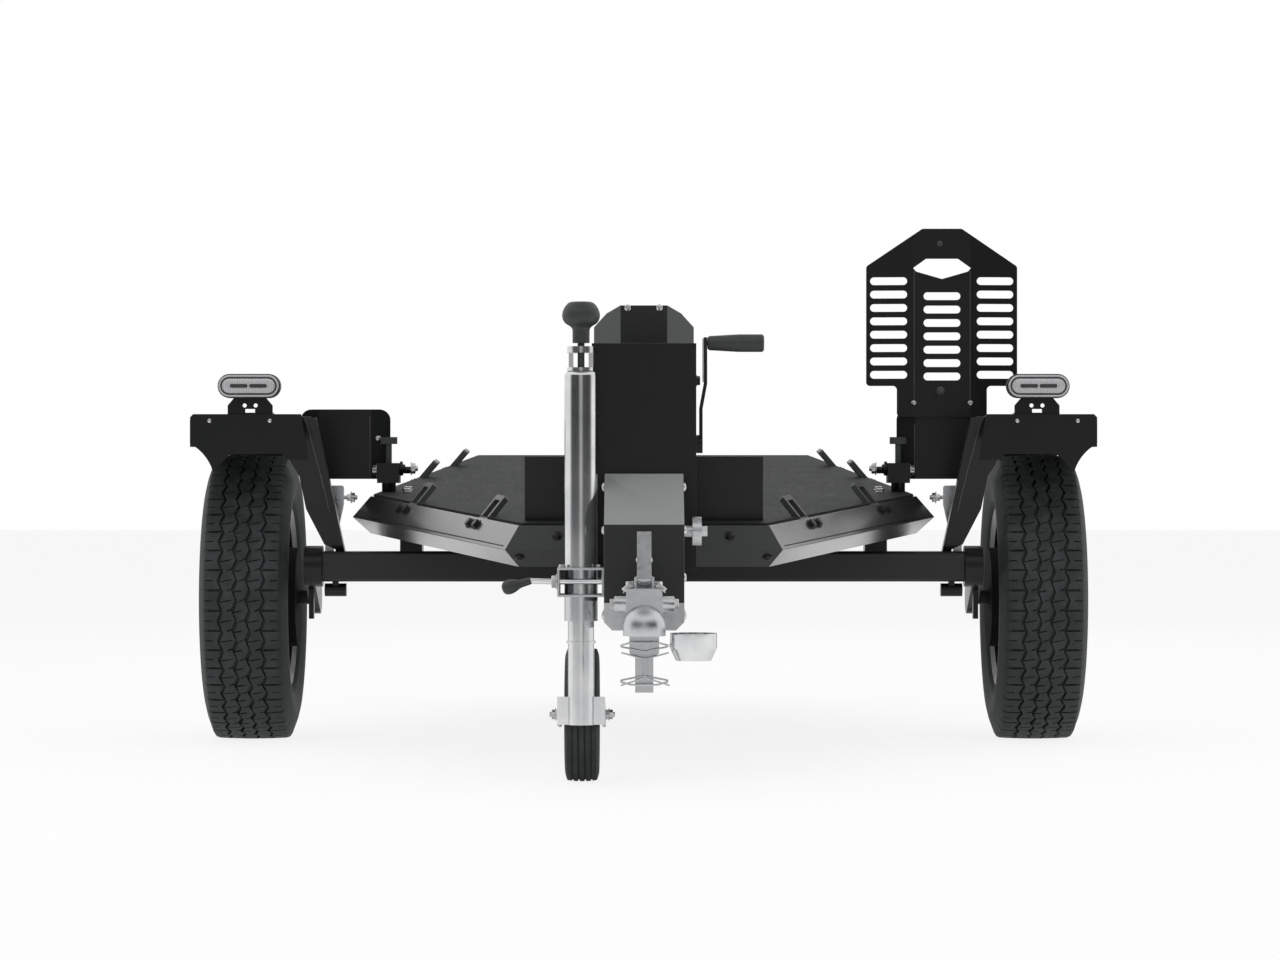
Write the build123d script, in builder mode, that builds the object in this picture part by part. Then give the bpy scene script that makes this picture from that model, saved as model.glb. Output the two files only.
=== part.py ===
from build123d import *
import math
import os

# Motorcycle trailer, low loading platform on two wheels. Millimetres.
# X to the right as seen from the coupling end, Y to the rear, Z up from the level ground.
os.makedirs("parts", exist_ok=True)

# Fits and clearances
seat_gap = 0.3
turn_gap = 0.1
side_play = 0.5

# Wheels and tyres
track_half = 790
tyre_radius = 287.5
tyre_width = 176
tyre_shoulder_inset = 21
tyre_shoulder_reach = 7
tyre_shoulder_drop = 9
tyre_crown = 2
tyre_belly = 54
tyre_bead_radius = 168
tyre_groove_depth = 7
tyre_groove_width = 7
tyre_groove_pitch = 29
rim_radius = 182
rim_well_radius = 145
rim_width = 140
rim_seat_width = 28
rim_well_slope = 8
rim_outer_seat = 34
bead_share = 0.36
bead_step = 4
rim_sheet = 4
rim_disc_offset = 14
rim_disc_sheet = 6
rim_hole_circle = 115
rim_hole_radius = 16
rim_hole_count = 8
hub_radius = 66
drum_inset = 90
spigot_reach = 26
spigot_radius = 30
spigot_cover = 14
brake_drum_radius = 100
brake_drum_width = 38
stub_radius = 15
wheel_bolt_count = 4
wheel_bolt_circle = 49
wheel_bolt_radius = 9
wheel_stud_radius = 6
wheel_bolt_height = 14

# Axle beam and swing arms
beam_size = 60
beam_wall = 4
beam_inset = 151
beam_ahead = 150
beam_below_deck = 152
pivot_radius = 41
pivot_width = 36
arm_thickness = 20
arm_end_radius = 34
strap_width = 10
strap_drop = 106

# Drawbar, cradle and hood
drawbar_width = 80
drawbar_depth = 80
drawbar_wall = 5
head_half_width = 68
head_reach = 400
cradle_below = 18
cradle_lip = 29
cradle_length = 240
cradle_sheet = 4
cradle_chamfer = 14
cradle_front_plate = 8
hood_sheet = 3
hood_nose_rise = 81
hood_back_rise = 167
hood_slope_length = 150

# Ball coupling
ball_radius = 25.2
dome_radius = 35
coupling_reach = 220
socket_rim = 15
shank_half_width = 30
shank_rise = 59
shank_lift = 12
shank_round = 10
coupling_ear_half_width = 49
coupling_ear_radius = 13
coupling_ear_rise = 33
coupling_ear_setback = 35
coupling_cheek = 4
cheek_half_length = 12
cheek_root = 14
cheek_crown = 8
handle_slot_length = 60
handle_slot_room = 12
handle_width = 24
handle_length = 112
handle_thickness = 14
handle_rise = 42
handle_wall = 3
handle_pin_radius = 5
handle_setback = 52
handle_pivot_rise = 10
guide_setback = 42
guide_sheet = 3
guide_upper_width = 49
guide_upper_drop = 42
guide_point_drop = 8
guide_lower_width = 30
guide_drop = 107
wire_radius = 1.6
wire_loop_half_width = 44
wire_loop_tip = 10
wire_loop_depth = 17
wire_loop_corner = 2
wire_loop_forward = 10
upper_loop_drop = 39
lower_loop_drop = 79
cup_gap = 2.2
cup_setback = 34
cup_radius = 38.8
cup_rim_drop = 9
cup_wall_height = 23.5
cup_floor_radius = 29
cup_depth = 45
cup_sheet = 1.5

# Winch tower, crank and strap roller
tower_half_width = 90.5
tower_setback = 170
tower_length = 150
tower_height = 393
tower_sheet = 3
crank_setback = 80
crank_rise = 219
crank_length = 176.5
crank_bar_width = 20
crank_bar_thickness = 6
crank_offset = 6
crank_jog = 8
crank_jog_start = 62
crank_jog_end = 106
crank_shaft_radius = 8
crank_shaft_length = 30
crank_boss_radius = 16
grip_length = 99
grip_root_radius = 12.5
grip_tip_radius = 15.5
grip_swell = 54
grip_edge = 3
grip_pin_radius = 5
roller_setback = 75
roller_rise = 149
roller_radius = 24.5
roller_width = 15.5
roller_bracket = 14.5
roller_nut_radius = 10
roller_nut_width = 10

# Deck: a six-sided boat shape in a plane that rises to the rear
deck_height = 505
deck_slope = 3.43
deck_front_half = 223.5
deck_wide_half = 541
deck_rear_half = 388
deck_front = 1000
deck_wide = 200
deck_rear = 1200
deck_inset = 6
deck_thickness = 4
rail_sheet = 3
rail_height = 74
rail_drop = 41
rail_bulge = 35
rail_flange = 32
rail_lip = 25
frame_tube_width = 50
frame_tube_depth = 40
frame_tube_wall = 3
frame_clear = 11
cross_front_inset = 220
cross_rear_inset = 350
foot_inset = 101
foot_width = 44

# Tie-down loops
loop_bar = 10
loop_length = 57
loop_bar_width = 46
loop_corner = 5
loop_slot_width = 28
loop_slot_length = 40
loop_slot_bottom = 6
loop_foot_width = 65
loop_foot_depth = 28
loop_foot_top = 3
loop_clear = 1
front_loop_places = (0.237, 0.71)
rear_loop_places = (0.40, 0.70)

# Bulkhead and wheel chock
bulkhead_half_width = 215
bulkhead_height = 116
bulkhead_inset = 70
bulkhead_flange = 30
bulkhead_sheet = 3
chock_sheet = 3
chock_half_flat = 42
chock_half_width = 90.5
chock_wing_back = 34
chock_height = 385
chock_corner_in = 23
chock_corner_drop = 15
chock_shoulder_drop = 44

# Fenders and posts
fender_sheet = 3
fender_rise = 79
fender_reach = 95
fender_edge = 10
fender_inset = 122
fender_skin_inset = 93
fender_front = 330
fender_rear = 330
fender_skirt = 64
fender_arch_drop = 78
fender_panel_drop = 11
fender_arch_corner = 8
fender_arch_step = 4
fender_horn_drop = 114
fender_horn_inset = 45
fender_arch_reach = 21
post_foot_inset = 35
post_width = 18
post_depth = 30
web_sheet = 3
web_reach = 92
web_shape = ((31, 14), (64, 85), (74, 150))

# Lamps, their brackets and side reflectors
lamp_inset = 21.5
lamp_rise = 54.5
lamp_length = 122
lamp_width = 47
lamp_depth = 26
lamp_lens_depth = 5
lamp_setback = 10
lamp_plate = 3
lamp_plate_foot = 36
lamp_plate_half_width = 44
lamp_plate_neck = 32
lamp_hole_spacing = 21.4
lamp_hole_radius = 4
lamp_hole_rise = 17
lamp_plate_shoulder = 17
lamp_plate_slope = 14
lamp_notch_width = 19
lamp_notch_height = 10
reflector_sheet = 4
reflector_height = 45
reflector_length = 90
reflector_drop = 57
reflector_setback = 80

# Side brackets, clamp blocks and ramp
side_setback = 70
side_sheet = 3
side_offset = 68
side_half_width = 90.5
side_fold_half = 53
side_fold_back = 8
side_lift = 8
side_height = 140
side_corner = 22
ear_sheet = 4
ear_half = 47
ear_radius = 10
ear_drop = 37
block_width = 44
block_inset = 9
block_rise = 14
block_height = 40
block_gap = 6
block_depth = 60
block_boss_radius = 14
tab_length = 44
tab_bolt_radius = 5
plunger_radius = 7
plunger_length = 22
plunger_rise = 26
plunger_nut_radius = 11
plunger_nut_width = 7
block_bolt_radius = 9
block_bolt_height = 7
t_stem_radius = 6
t_stem_height = 38
t_bar_length = 34
t_bar_size = 14
t_stem_depth = 24
ramp_sheet = 3
ramp_pin_radius = 4
ramp_pin_rise = 13
ramp_pin_back = 12
ramp_plate_ahead = 17
ramp_half_width = 152
ramp_neck_half = 90.5
ramp_neck_drop = 28
ramp_wide_rise = 34
ramp_shoulder_rise = 274.5
ramp_top_rise = 350
ramp_top_half = 39.5
ramp_fold_half = 57
ramp_fold_back = 10
ramp_corner = 8
ramp_tab_radius = 10
ramp_tab_sheet = 3
slot_length = 74
slot_height = 15.5
slot_pitch = 26.9
slot_side_count = 8
slot_centre_count = 7
slot_side_offset = 107
slot_first_rise = 56.5
slot_centre_rise = 53
hand_hole_half_width = 58
hand_hole_half_top = 32
hand_hole_rise = 289.5
hand_hole_side_drop = 18.5
hand_hole_shoulder_drop = 25.5
hand_hole_point_drop = 40.5
hand_hole_half_bottom = 52

# Lever plates and bushes on the beam
lever_inset = 21
lever_width = 37
lever_foot_shift = 20
lever_height = 131
lever_knee_rise = 93
lever_sheet = 10
lever_setback = 30
lever_bolt_rise = 107
lever_bolt_radius = 8
lever_bolt_length = 27
bush_inset = 25
bush_length = 43
bush_radius = 13
bush_drop = 17
bush_hanger = 12
bush_hanger_depth = 20

# Jockey wheel
jockey_offset = 40
jockey_setback = 100
jockey_tube_radius = 28.5
jockey_tube_wall = 3.5
jockey_tube_below = 42
jockey_tube_length = 428
jockey_tube_round = 9
jockey_guide_length = 24
leg_radius = 22.5
leg_wall = 3.5
leg_reach = 34
leg_length = 308
spigot_length = 90
fork_drop = 8.7
fork_collar_radius = 25
fork_collar_height = 4
jockey_wheel_radius = 116.7
jockey_wheel_width = 60
jockey_trail = 150
jockey_rim_radius = 76
cheek_gap_half = 36
cheek_sheet = 5
cheek_height = 48
cheek_end_radius = 22
fork_web = 6
jockey_hub_radius = 16
jockey_disc = 5
jockey_barrel_width = 48
jockey_tread_width = 51
jockey_crown = 2
jockey_rim_wall = 4
jockey_groove = 3
jockey_groove_pitch = 11
jockey_bolt_radius = 5
jockey_bolt_head_radius = 10
jockey_bolt_head = 5
clamp_reach = 40
clamp_rise = 37
clamp_height = 50
clamp_sheet = 4
clamp_depth = 90
clamp_rod_radius = 4.5
clamp_rod_gap = 1
clamp_rod_rise = 26
lever_arm_length = 50
lever_arm_radius = 3.5
lever_grip_length = 38
lever_grip_radius = 8
lever_arm_drop = 10
lever_arm_forward = 16
cage_ring_radius = 24
cage_arm_offset = 17
cage_ring_height = 6
cage_height = 31
cage_arm_width = 8
cage_arm_depth = 12
collar_height = 11
knob_neck_radius = 14.7
knob_neck_height = 20
knob_height = 71
knob_profile = ((26, 33), (32.5, 48), (23.5, 67))
knob_gap = 6
knob_shaft_radius = 6

# Places across the trailer that follow from the sizes above
beam_half_length = track_half - beam_inset
hub_inner = track_half - drum_inset
hub_outer = track_half + spigot_reach
fender_outer = track_half + fender_reach
fender_inner = track_half - fender_inset
fender_skin_inner = track_half - fender_skin_inset
fender_horn_x = fender_outer - fender_horn_inset
fender_arch_outer = track_half + fender_arch_reach
lamp_x = track_half - lamp_inset
post_foot_x = beam_half_length - post_foot_inset
lever_x = beam_half_length - lever_inset
bush_x = beam_half_length - bush_inset
block_outer = deck_wide_half - block_inset
block_inner = block_outer - block_width
side_centre = block_outer + side_offset
foot_inner = deck_wide_half - foot_inset
jockey_x = -head_half_width - jockey_offset
clamp_left_x = jockey_x - clamp_reach

# Places along the trailer, ahead of the wheel axle
head_ahead = deck_front + head_reach
tower_front = head_ahead - tower_setback
crank_ahead = tower_front - crank_setback
roller_ahead = head_ahead - roller_setback
jockey_ahead = head_ahead - jockey_setback
ball_ahead = head_ahead + coupling_reach
coupling_ear_ahead = ball_ahead - coupling_ear_setback
handle_pivot_ahead = ball_ahead - handle_setback
guide_ahead = ball_ahead - guide_setback
cup_ahead = ball_ahead - cup_setback
bulkhead_ahead = deck_front - bulkhead_inset
cross_front = cross_front_inset - deck_front
cross_middle = -beam_ahead
cross_rear = deck_rear - cross_rear_inset
side_ahead = beam_ahead - side_setback
block_rear = side_ahead + block_gap
lever_ahead = beam_ahead - lever_setback
lamp_back = fender_front - lamp_setback
reflector_ahead = fender_front - reflector_setback

# Heights above the ground
beam_height = deck_height - beam_below_deck
rail_foot = (
    deck_height
    - deck_front * math.sin(math.radians(deck_slope))
    - rail_height * math.cos(math.radians(deck_slope))
)
drawbar_top = rail_foot - seat_gap
drawbar_bottom = drawbar_top - drawbar_depth
cradle_bottom = drawbar_bottom - cradle_below
cradle_top = drawbar_bottom + cradle_lip
hood_nose_height = drawbar_top + hood_nose_rise
hood_back_height = drawbar_top + hood_back_rise
socket_floor = cradle_bottom
ball_height = socket_floor + socket_rim
shank_bottom = socket_floor + shank_lift
shank_top = drawbar_bottom + shank_rise
coupling_ear_height = drawbar_bottom + coupling_ear_rise
handle_pivot_height = shank_top + handle_pivot_rise
guide_upper_bottom = shank_bottom - guide_upper_drop
guide_bottom = shank_bottom - guide_drop
upper_loop_height = shank_bottom - upper_loop_drop
lower_loop_height = shank_bottom - lower_loop_drop
cup_rim_height = shank_bottom - cup_rim_drop
crank_height = drawbar_top + crank_rise
roller_height = drawbar_bottom + roller_rise
clamp_bottom = drawbar_bottom + clamp_rise
clamp_rod_height = clamp_bottom + clamp_rod_rise
jockey_tube_bottom = clamp_bottom - jockey_tube_below
jockey_tube_top = jockey_tube_bottom + jockey_tube_length
leg_split = jockey_tube_bottom - leg_reach
leg_top = leg_split + leg_length
fork_bottom = jockey_wheel_radius - fork_drop
fender_top = 2 * tyre_radius + fender_rise
fender_arch_top = fender_top - fender_arch_drop
fender_horn_height = fender_top - fender_horn_drop
lamp_height = fender_top + lamp_rise
lamp_hole_height = fender_top + lamp_hole_rise
reflector_bottom = fender_top - reflector_drop
block_bottom = deck_height + block_rise
plunger_height = block_bottom + plunger_rise
side_bottom = block_bottom + side_lift
side_top = side_bottom + side_height
ear_bottom = side_top - ear_drop
ramp_pin_height = side_top + ramp_pin_rise
ramp_neck_bottom = ramp_pin_height - ramp_neck_drop
ramp_wide_bottom = ramp_pin_height + ramp_wide_rise
ramp_shoulder = ramp_pin_height + ramp_shoulder_rise
ramp_top = ramp_pin_height + ramp_top_rise
slot_first_height = ramp_pin_height + slot_first_rise
slot_centre_first = ramp_pin_height + slot_centre_rise
hand_hole_top = ramp_pin_height + hand_hole_rise
hand_hole_side = hand_hole_top - hand_hole_side_drop
hand_hole_shoulder = hand_hole_top - hand_hole_shoulder_drop
hand_hole_bottom = hand_hole_top - hand_hole_point_drop
beam_top = beam_height + beam_size / 2
beam_bottom = beam_height - beam_size / 2
lever_top = beam_top + lever_height
lever_knee = beam_top + lever_knee_rise
lever_bolt_height = beam_top + lever_bolt_rise
bush_height = beam_bottom - bush_drop

# The box of the whole trailer is centred on the origin in X and Y, with the wheels on Z = 0.
front_reach = ball_ahead + dome_radius
rear_reach = (
    deck_rear * math.cos(math.radians(deck_slope))
    + rail_bulge * math.cos(math.radians(deck_slope))
    + rail_drop * math.sin(math.radians(deck_slope))
)
axle_y = (front_reach - rear_reach) / 2


def ahead(distance):
    """Y of a point so far ahead of the wheel axle."""
    return axle_y - distance


def front_plane(distance):
    """Upright plane across the trailer that looks forward: local x is X, local y is Z."""
    return Plane(origin=(0, ahead(distance), 0), x_dir=(1, 0, 0), z_dir=(0, -1, 0))


def side_plane(x):
    """Upright plane along the trailer that looks to the right: local x is Y, local y is Z."""
    return Plane(origin=(x, 0, 0), x_dir=(0, 1, 0), z_dir=(1, 0, 0))


deck_plane = Plane(
    origin=(0, ahead(0), deck_height),
    x_dir=(1, 0, 0),
    z_dir=(0, -math.sin(math.radians(deck_slope)), math.cos(math.radians(deck_slope))),
)


def deck_point(along, up):
    """Y and Z of a point in the deck's middle plane: so far to the rear, so far off the deck."""
    angle = math.radians(deck_slope)
    return (
        ahead(0) + along * math.cos(angle) - up * math.sin(angle),
        deck_height + along * math.sin(angle) + up * math.cos(angle),
    )


def sheet_outline(path, thickness):
    """Closed outline of a folded sheet: the path is one face, the sheet lies on its right."""
    points = [Vector(*point) for point in path]
    normals = []
    for start, end in zip(points, points[1:]):
        run = (end - start).normalized()
        normals.append(Vector(run.Y, -run.X))
    inner = [points[0] + normals[0] * thickness]
    for point, before, after in zip(points[1:], normals, normals[1:]):
        middle = (before + after).normalized()
        inner.append(point + middle * (thickness / middle.dot(before)))
    inner.append(points[-1] + normals[-1] * thickness)
    return [(point.X, point.Y) for point in points + inner[::-1]]


def keep(piece, name):
    """Label one finished piece and write it."""
    piece.label = name
    export_step(piece, f"parts/{name}.step")


def keep_pair(piece, name):
    """Write a right-hand piece and its mirror image on the left."""
    keep(piece, f"{name}_right")
    with BuildPart() as left:
        mirror(piece, about=Plane.YZ)
    keep(left.part, f"{name}_left")


# Axle beam
with BuildPart() as axle_beam:
    with BuildSketch(side_plane(-beam_half_length)):
        with Locations((ahead(beam_ahead), beam_height)):
            RectangleRounded(beam_size, beam_size, beam_wall * 1.5)
            RectangleRounded(
                beam_size - 2 * beam_wall,
                beam_size - 2 * beam_wall,
                beam_wall * 0.5,
                mode=Mode.SUBTRACT,
            )
    extrude(amount=2 * beam_half_length)
axle_beam.part.label = "axle_beam"
export_step(axle_beam.part, "parts/axle_beam.step")

beam_front = beam_ahead + beam_size / 2

# Drawbar: its top carries the front rail, its rear end is welded to the beam
drawbar_middle = (drawbar_top + drawbar_bottom) / 2
drawbar_front = head_ahead - cradle_front_plate
with BuildPart() as drawbar:
    with BuildSketch(front_plane(beam_front)):
        with Locations((0, drawbar_middle)):
            RectangleRounded(drawbar_width, drawbar_depth, drawbar_wall * 1.5)
            RectangleRounded(
                drawbar_width - 2 * drawbar_wall,
                drawbar_depth - 2 * drawbar_wall,
                drawbar_wall * 0.5,
                mode=Mode.SUBTRACT,
            )
    extrude(amount=drawbar_front - beam_front)
drawbar.part.label = "drawbar"
export_step(drawbar.part, "parts/drawbar.step")

# Cradle: a galvanised channel under the drawbar's nose, with a front plate that closes it
cradle_section = [
    (-head_half_width, cradle_top),
    (-head_half_width, cradle_bottom + cradle_chamfer),
    (-head_half_width + cradle_chamfer, cradle_bottom),
    (head_half_width - cradle_chamfer, cradle_bottom),
    (head_half_width, cradle_bottom + cradle_chamfer),
    (head_half_width, cradle_top),
]
with BuildPart() as drawbar_cradle:
    with BuildSketch(front_plane(head_ahead - cradle_length)):
        with BuildLine():
            Polyline(*sheet_outline(cradle_section[::-1], cradle_sheet), close=True)
        make_face()
    extrude(amount=cradle_length)
    with BuildSketch(front_plane(drawbar_front)):
        with BuildLine():
            Polyline(*cradle_section, close=True)
        make_face()
    extrude(amount=cradle_front_plate)
    with BuildSketch(front_plane(head_ahead - cradle_length)):
        with Locations((0, (cradle_bottom + cradle_sheet + drawbar_bottom) / 2)):
            Rectangle(drawbar_width / 2, drawbar_bottom - cradle_bottom - cradle_sheet)
    extrude(amount=cradle_length)
drawbar_cradle.part.label = "drawbar_cradle"
export_step(drawbar_cradle.part, "parts/drawbar_cradle.step")

# Hood: a folded cover from the tower's face to the nose, open below and behind
hood_side = [
    (ahead(head_ahead), cradle_top),
    (ahead(head_ahead), hood_nose_height),
    (ahead(head_ahead - hood_slope_length), hood_back_height),
    (ahead(tower_front), hood_back_height),
    (ahead(tower_front), cradle_top),
]
with BuildPart() as drawbar_hood:
    with BuildSketch(side_plane(-head_half_width)):
        with BuildLine():
            Polyline(*hood_side, close=True)
        make_face()
    extrude(amount=2 * head_half_width)
    openings = drawbar_hood.faces().sort_by(Axis.Z)[:1] + drawbar_hood.faces().sort_by(Axis.Y)[-1:]
    offset(amount=-hood_sheet, openings=openings, kind=Kind.INTERSECTION)
drawbar_hood.part.label = "drawbar_hood"
export_step(drawbar_hood.part, "parts/drawbar_hood.step")

# Coupling body: pressed shank and dome with a socket for the tow ball
with BuildPart() as coupling_body:
    with BuildSketch(front_plane(head_ahead)):
        with Locations((0, (shank_top + shank_bottom) / 2)):
            RectangleRounded(2 * shank_half_width, shank_top - shank_bottom, shank_round)
    extrude(amount=ball_ahead - head_ahead)
    with Locations((0, ahead(ball_ahead), ball_height)):
        Sphere(dome_radius)
        Cylinder(
            dome_radius,
            ball_height - socket_floor,
            align=(Align.CENTER, Align.CENTER, Align.MAX),
        )
    with BuildSketch(side_plane(-coupling_ear_half_width)):
        with Locations((ahead(coupling_ear_ahead), coupling_ear_height)):
            Circle(coupling_ear_radius)
    extrude(amount=2 * coupling_ear_half_width)
    split(bisect_by=Plane.XY.offset(socket_floor), keep=Keep.TOP)
    with Locations((0, ahead(ball_ahead), ball_height)):
        Sphere(ball_radius, mode=Mode.SUBTRACT)
        Cylinder(
            ball_radius,
            dome_radius,
            align=(Align.CENTER, Align.CENTER, Align.MAX),
            mode=Mode.SUBTRACT,
        )
    with BuildSketch(side_plane(-handle_width / 2 - side_play)):
        with Locations((ahead(handle_pivot_ahead), handle_pivot_height)):
            Rectangle(handle_slot_length, 2 * (handle_pivot_height - shank_top + handle_slot_room))
    extrude(amount=handle_width + 2 * side_play, mode=Mode.SUBTRACT)
    cheek_half = handle_width / 2 + side_play
    for cheek_x in (-cheek_half - coupling_cheek, cheek_half):
        with BuildSketch(side_plane(cheek_x)):
            with BuildLine():
                Polyline(
                    (ahead(handle_pivot_ahead) - cheek_half_length, shank_top - cheek_root),
                    (ahead(handle_pivot_ahead) - cheek_half_length, handle_pivot_height + cheek_crown),
                    (ahead(handle_pivot_ahead) + cheek_half_length, handle_pivot_height + cheek_crown),
                    (ahead(handle_pivot_ahead) + cheek_half_length, shank_top - cheek_root),
                    close=True,
                )
            make_face()
        extrude(amount=coupling_cheek)
    with BuildSketch(side_plane(-cheek_half - coupling_cheek)):
        with Locations((ahead(handle_pivot_ahead), handle_pivot_height)):
            Circle(handle_pin_radius + turn_gap)
    extrude(amount=2 * (cheek_half + coupling_cheek), mode=Mode.SUBTRACT)
coupling_body.part.label = "coupling_body"
export_step(coupling_body.part, "parts/coupling_body.step")

# Coupling handle: a channel lever on a pin between the shank's cheeks
handle_side = Plane(
    origin=(-handle_width / 2, ahead(handle_pivot_ahead), handle_pivot_height),
    x_dir=(0, math.cos(math.radians(handle_rise)), math.sin(math.radians(handle_rise))),
    z_dir=(1, 0, 0),
)
with BuildPart() as coupling_handle:
    with BuildSketch(handle_side):
        with Locations((handle_length / 2, 0)):
            SlotCenterToCenter(handle_length, handle_thickness)
    extrude(amount=handle_width)
    with BuildSketch(handle_side.offset(handle_wall)):
        with Locations((handle_length / 2 + handle_thickness, -handle_wall)):
            Rectangle(handle_length - handle_thickness, handle_thickness)
    extrude(amount=handle_width - 2 * handle_wall, mode=Mode.SUBTRACT)
    with BuildSketch(side_plane(-cheek_half - coupling_cheek)):
        with Locations((ahead(handle_pivot_ahead), handle_pivot_height)):
            Circle(handle_pin_radius)
    extrude(amount=2 * (cheek_half + coupling_cheek))
coupling_handle.part.label = "coupling_handle"
export_step(coupling_handle.part, "parts/coupling_handle.step")


# Guide under the coupling: a stepped plate with two wire loops on an upright wire
def wire_loop(height, rise):
    """A three-cornered wire loop whose point is on the plate, leaning forward by a little."""
    lean = Vector(0, -wire_loop_forward, rise * wire_loop_depth)
    loop_plane = Plane(
        origin=(0, ahead(guide_ahead + guide_sheet), height),
        x_dir=(1, 0, 0),
        z_dir=Vector(1, 0, 0).cross(lean),
    )
    with BuildPart() as loop:
        with BuildLine(loop_plane):
            FilletPolyline(
                (0, 0),
                (wire_loop_half_width, wire_loop_tip),
                (wire_loop_half_width / 2, wire_loop_depth),
                (-wire_loop_half_width / 2, wire_loop_depth),
                (-wire_loop_half_width, wire_loop_tip),
                (0, 0),
                radius=wire_loop_corner,
            )
        path = loop.pending_edges
        with BuildSketch(Plane(origin=path[0] @ 0, z_dir=path[0] % 0)):
            Circle(wire_radius)
        sweep(transition=Transition.ROUND)
    return loop.part


with BuildPart() as hitch_guide:
    with BuildSketch(front_plane(guide_ahead)):
        with BuildLine():
            Polyline(
                (-guide_upper_width / 2, shank_bottom),
                (-guide_upper_width / 2, guide_upper_bottom),
                (-guide_lower_width / 2, guide_upper_bottom - guide_point_drop),
                (-guide_lower_width / 2, guide_bottom),
                (guide_lower_width / 2, guide_bottom),
                (guide_lower_width / 2, guide_upper_bottom - guide_point_drop),
                (guide_upper_width / 2, guide_upper_bottom),
                (guide_upper_width / 2, shank_bottom),
                close=True,
            )
        make_face()
    extrude(amount=guide_sheet)
    with BuildSketch(Plane.XY.offset(lower_loop_height)):
        with Locations((0, ahead(guide_ahead + guide_sheet))):
            Circle(wire_radius)
    extrude(amount=upper_loop_height - lower_loop_height)
    add(wire_loop(upper_loop_height, 1))
    add(wire_loop(lower_loop_height, -1))
hitch_guide.part.label = "hitch_guide"
export_step(hitch_guide.part, "parts/hitch_guide.step")

# Cup: a spun shell beside the coupling, held by a short wire to the upper loop
guide_edge = hitch_guide.part.bounding_box().max.X
cup_x = guide_edge + cup_gap + cup_radius
cup_wire_start = guide_edge + seat_gap
cup_plane = Plane(origin=(cup_x, ahead(cup_ahead), cup_rim_height), x_dir=(1, 0, 0), z_dir=(0, -1, 0))
with BuildPart() as ball_cup:
    with BuildSketch(cup_plane):
        with BuildLine():
            Polyline(
                (0, -cup_depth),
                (cup_floor_radius, -cup_depth),
                (cup_radius, -cup_wall_height),
                (cup_radius, 0),
                (cup_radius - cup_sheet, 0),
                (cup_radius - cup_sheet, -cup_wall_height),
                (cup_floor_radius - cup_sheet, cup_sheet - cup_depth),
                (0, cup_sheet - cup_depth),
                close=True,
            )
        make_face()
    revolve(axis=Axis((cup_x, ahead(cup_ahead), 0), (0, 0, 1)))
    with BuildSketch(side_plane(cup_wire_start)):
        with Locations((ahead(cup_ahead), upper_loop_height + wire_loop_tip)):
            Circle(wire_radius)
    extrude(amount=cup_x - cup_radius + cup_sheet / 2 - cup_wire_start)
ball_cup.part.label = "ball_cup"
export_step(ball_cup.part, "parts/ball_cup.step")

# Winch tower: a closed sheet box that stands on the drawbar, bored for the crank shaft
tower_middle = tower_front - tower_length / 2
with BuildPart() as winch_tower:
    with Locations((0, ahead(tower_middle), drawbar_top + tower_height / 2)):
        Box(2 * tower_half_width, tower_length, tower_height)
        Box(
            2 * (tower_half_width - tower_sheet),
            tower_length - 2 * tower_sheet,
            tower_height - 2 * tower_sheet,
            mode=Mode.SUBTRACT,
        )
    with BuildSketch(side_plane(tower_half_width - 2 * tower_sheet)):
        with Locations((ahead(crank_ahead), crank_height)):
            Circle(crank_shaft_radius + turn_gap)
    extrude(amount=3 * tower_sheet, mode=Mode.SUBTRACT)
winch_tower.part.label = "winch_tower"
export_step(winch_tower.part, "parts/winch_tower.step")

# Crank arm: a flat bar with a jog, a boss and shaft at its foot and a pin at its head
crank_face = tower_half_width + crank_offset
crank_head_face = crank_face + crank_jog
crank_head = crank_height + crank_length
with BuildPart() as crank_arm:
    with BuildSketch(front_plane(crank_ahead - crank_bar_width / 2)):
        with BuildLine():
            Polyline(
                *sheet_outline(
                    [
                        (crank_face, crank_height - crank_boss_radius),
                        (crank_face, crank_height + crank_jog_start),
                        (crank_head_face, crank_height + crank_jog_end),
                        (crank_head_face, crank_head + crank_bar_width / 2),
                    ],
                    crank_bar_thickness,
                ),
                close=True,
            )
        make_face()
    extrude(amount=crank_bar_width)
    with BuildSketch(side_plane(tower_half_width + side_play)):
        with Locations((ahead(crank_ahead), crank_height)):
            Circle(crank_boss_radius)
    extrude(amount=crank_offset + crank_bar_thickness - side_play)
    with BuildSketch(side_plane(crank_face - crank_shaft_length)):
        with Locations((ahead(crank_ahead), crank_height)):
            Circle(crank_shaft_radius)
    extrude(amount=crank_shaft_length)
    with BuildSketch(side_plane(crank_head_face)):
        with Locations((ahead(crank_ahead), crank_head)):
            Circle(grip_pin_radius)
    extrude(amount=crank_bar_thickness + grip_length - grip_pin_radius)
crank_arm.part.label = "crank_arm"
export_step(crank_arm.part, "parts/crank_arm.step")

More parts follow.
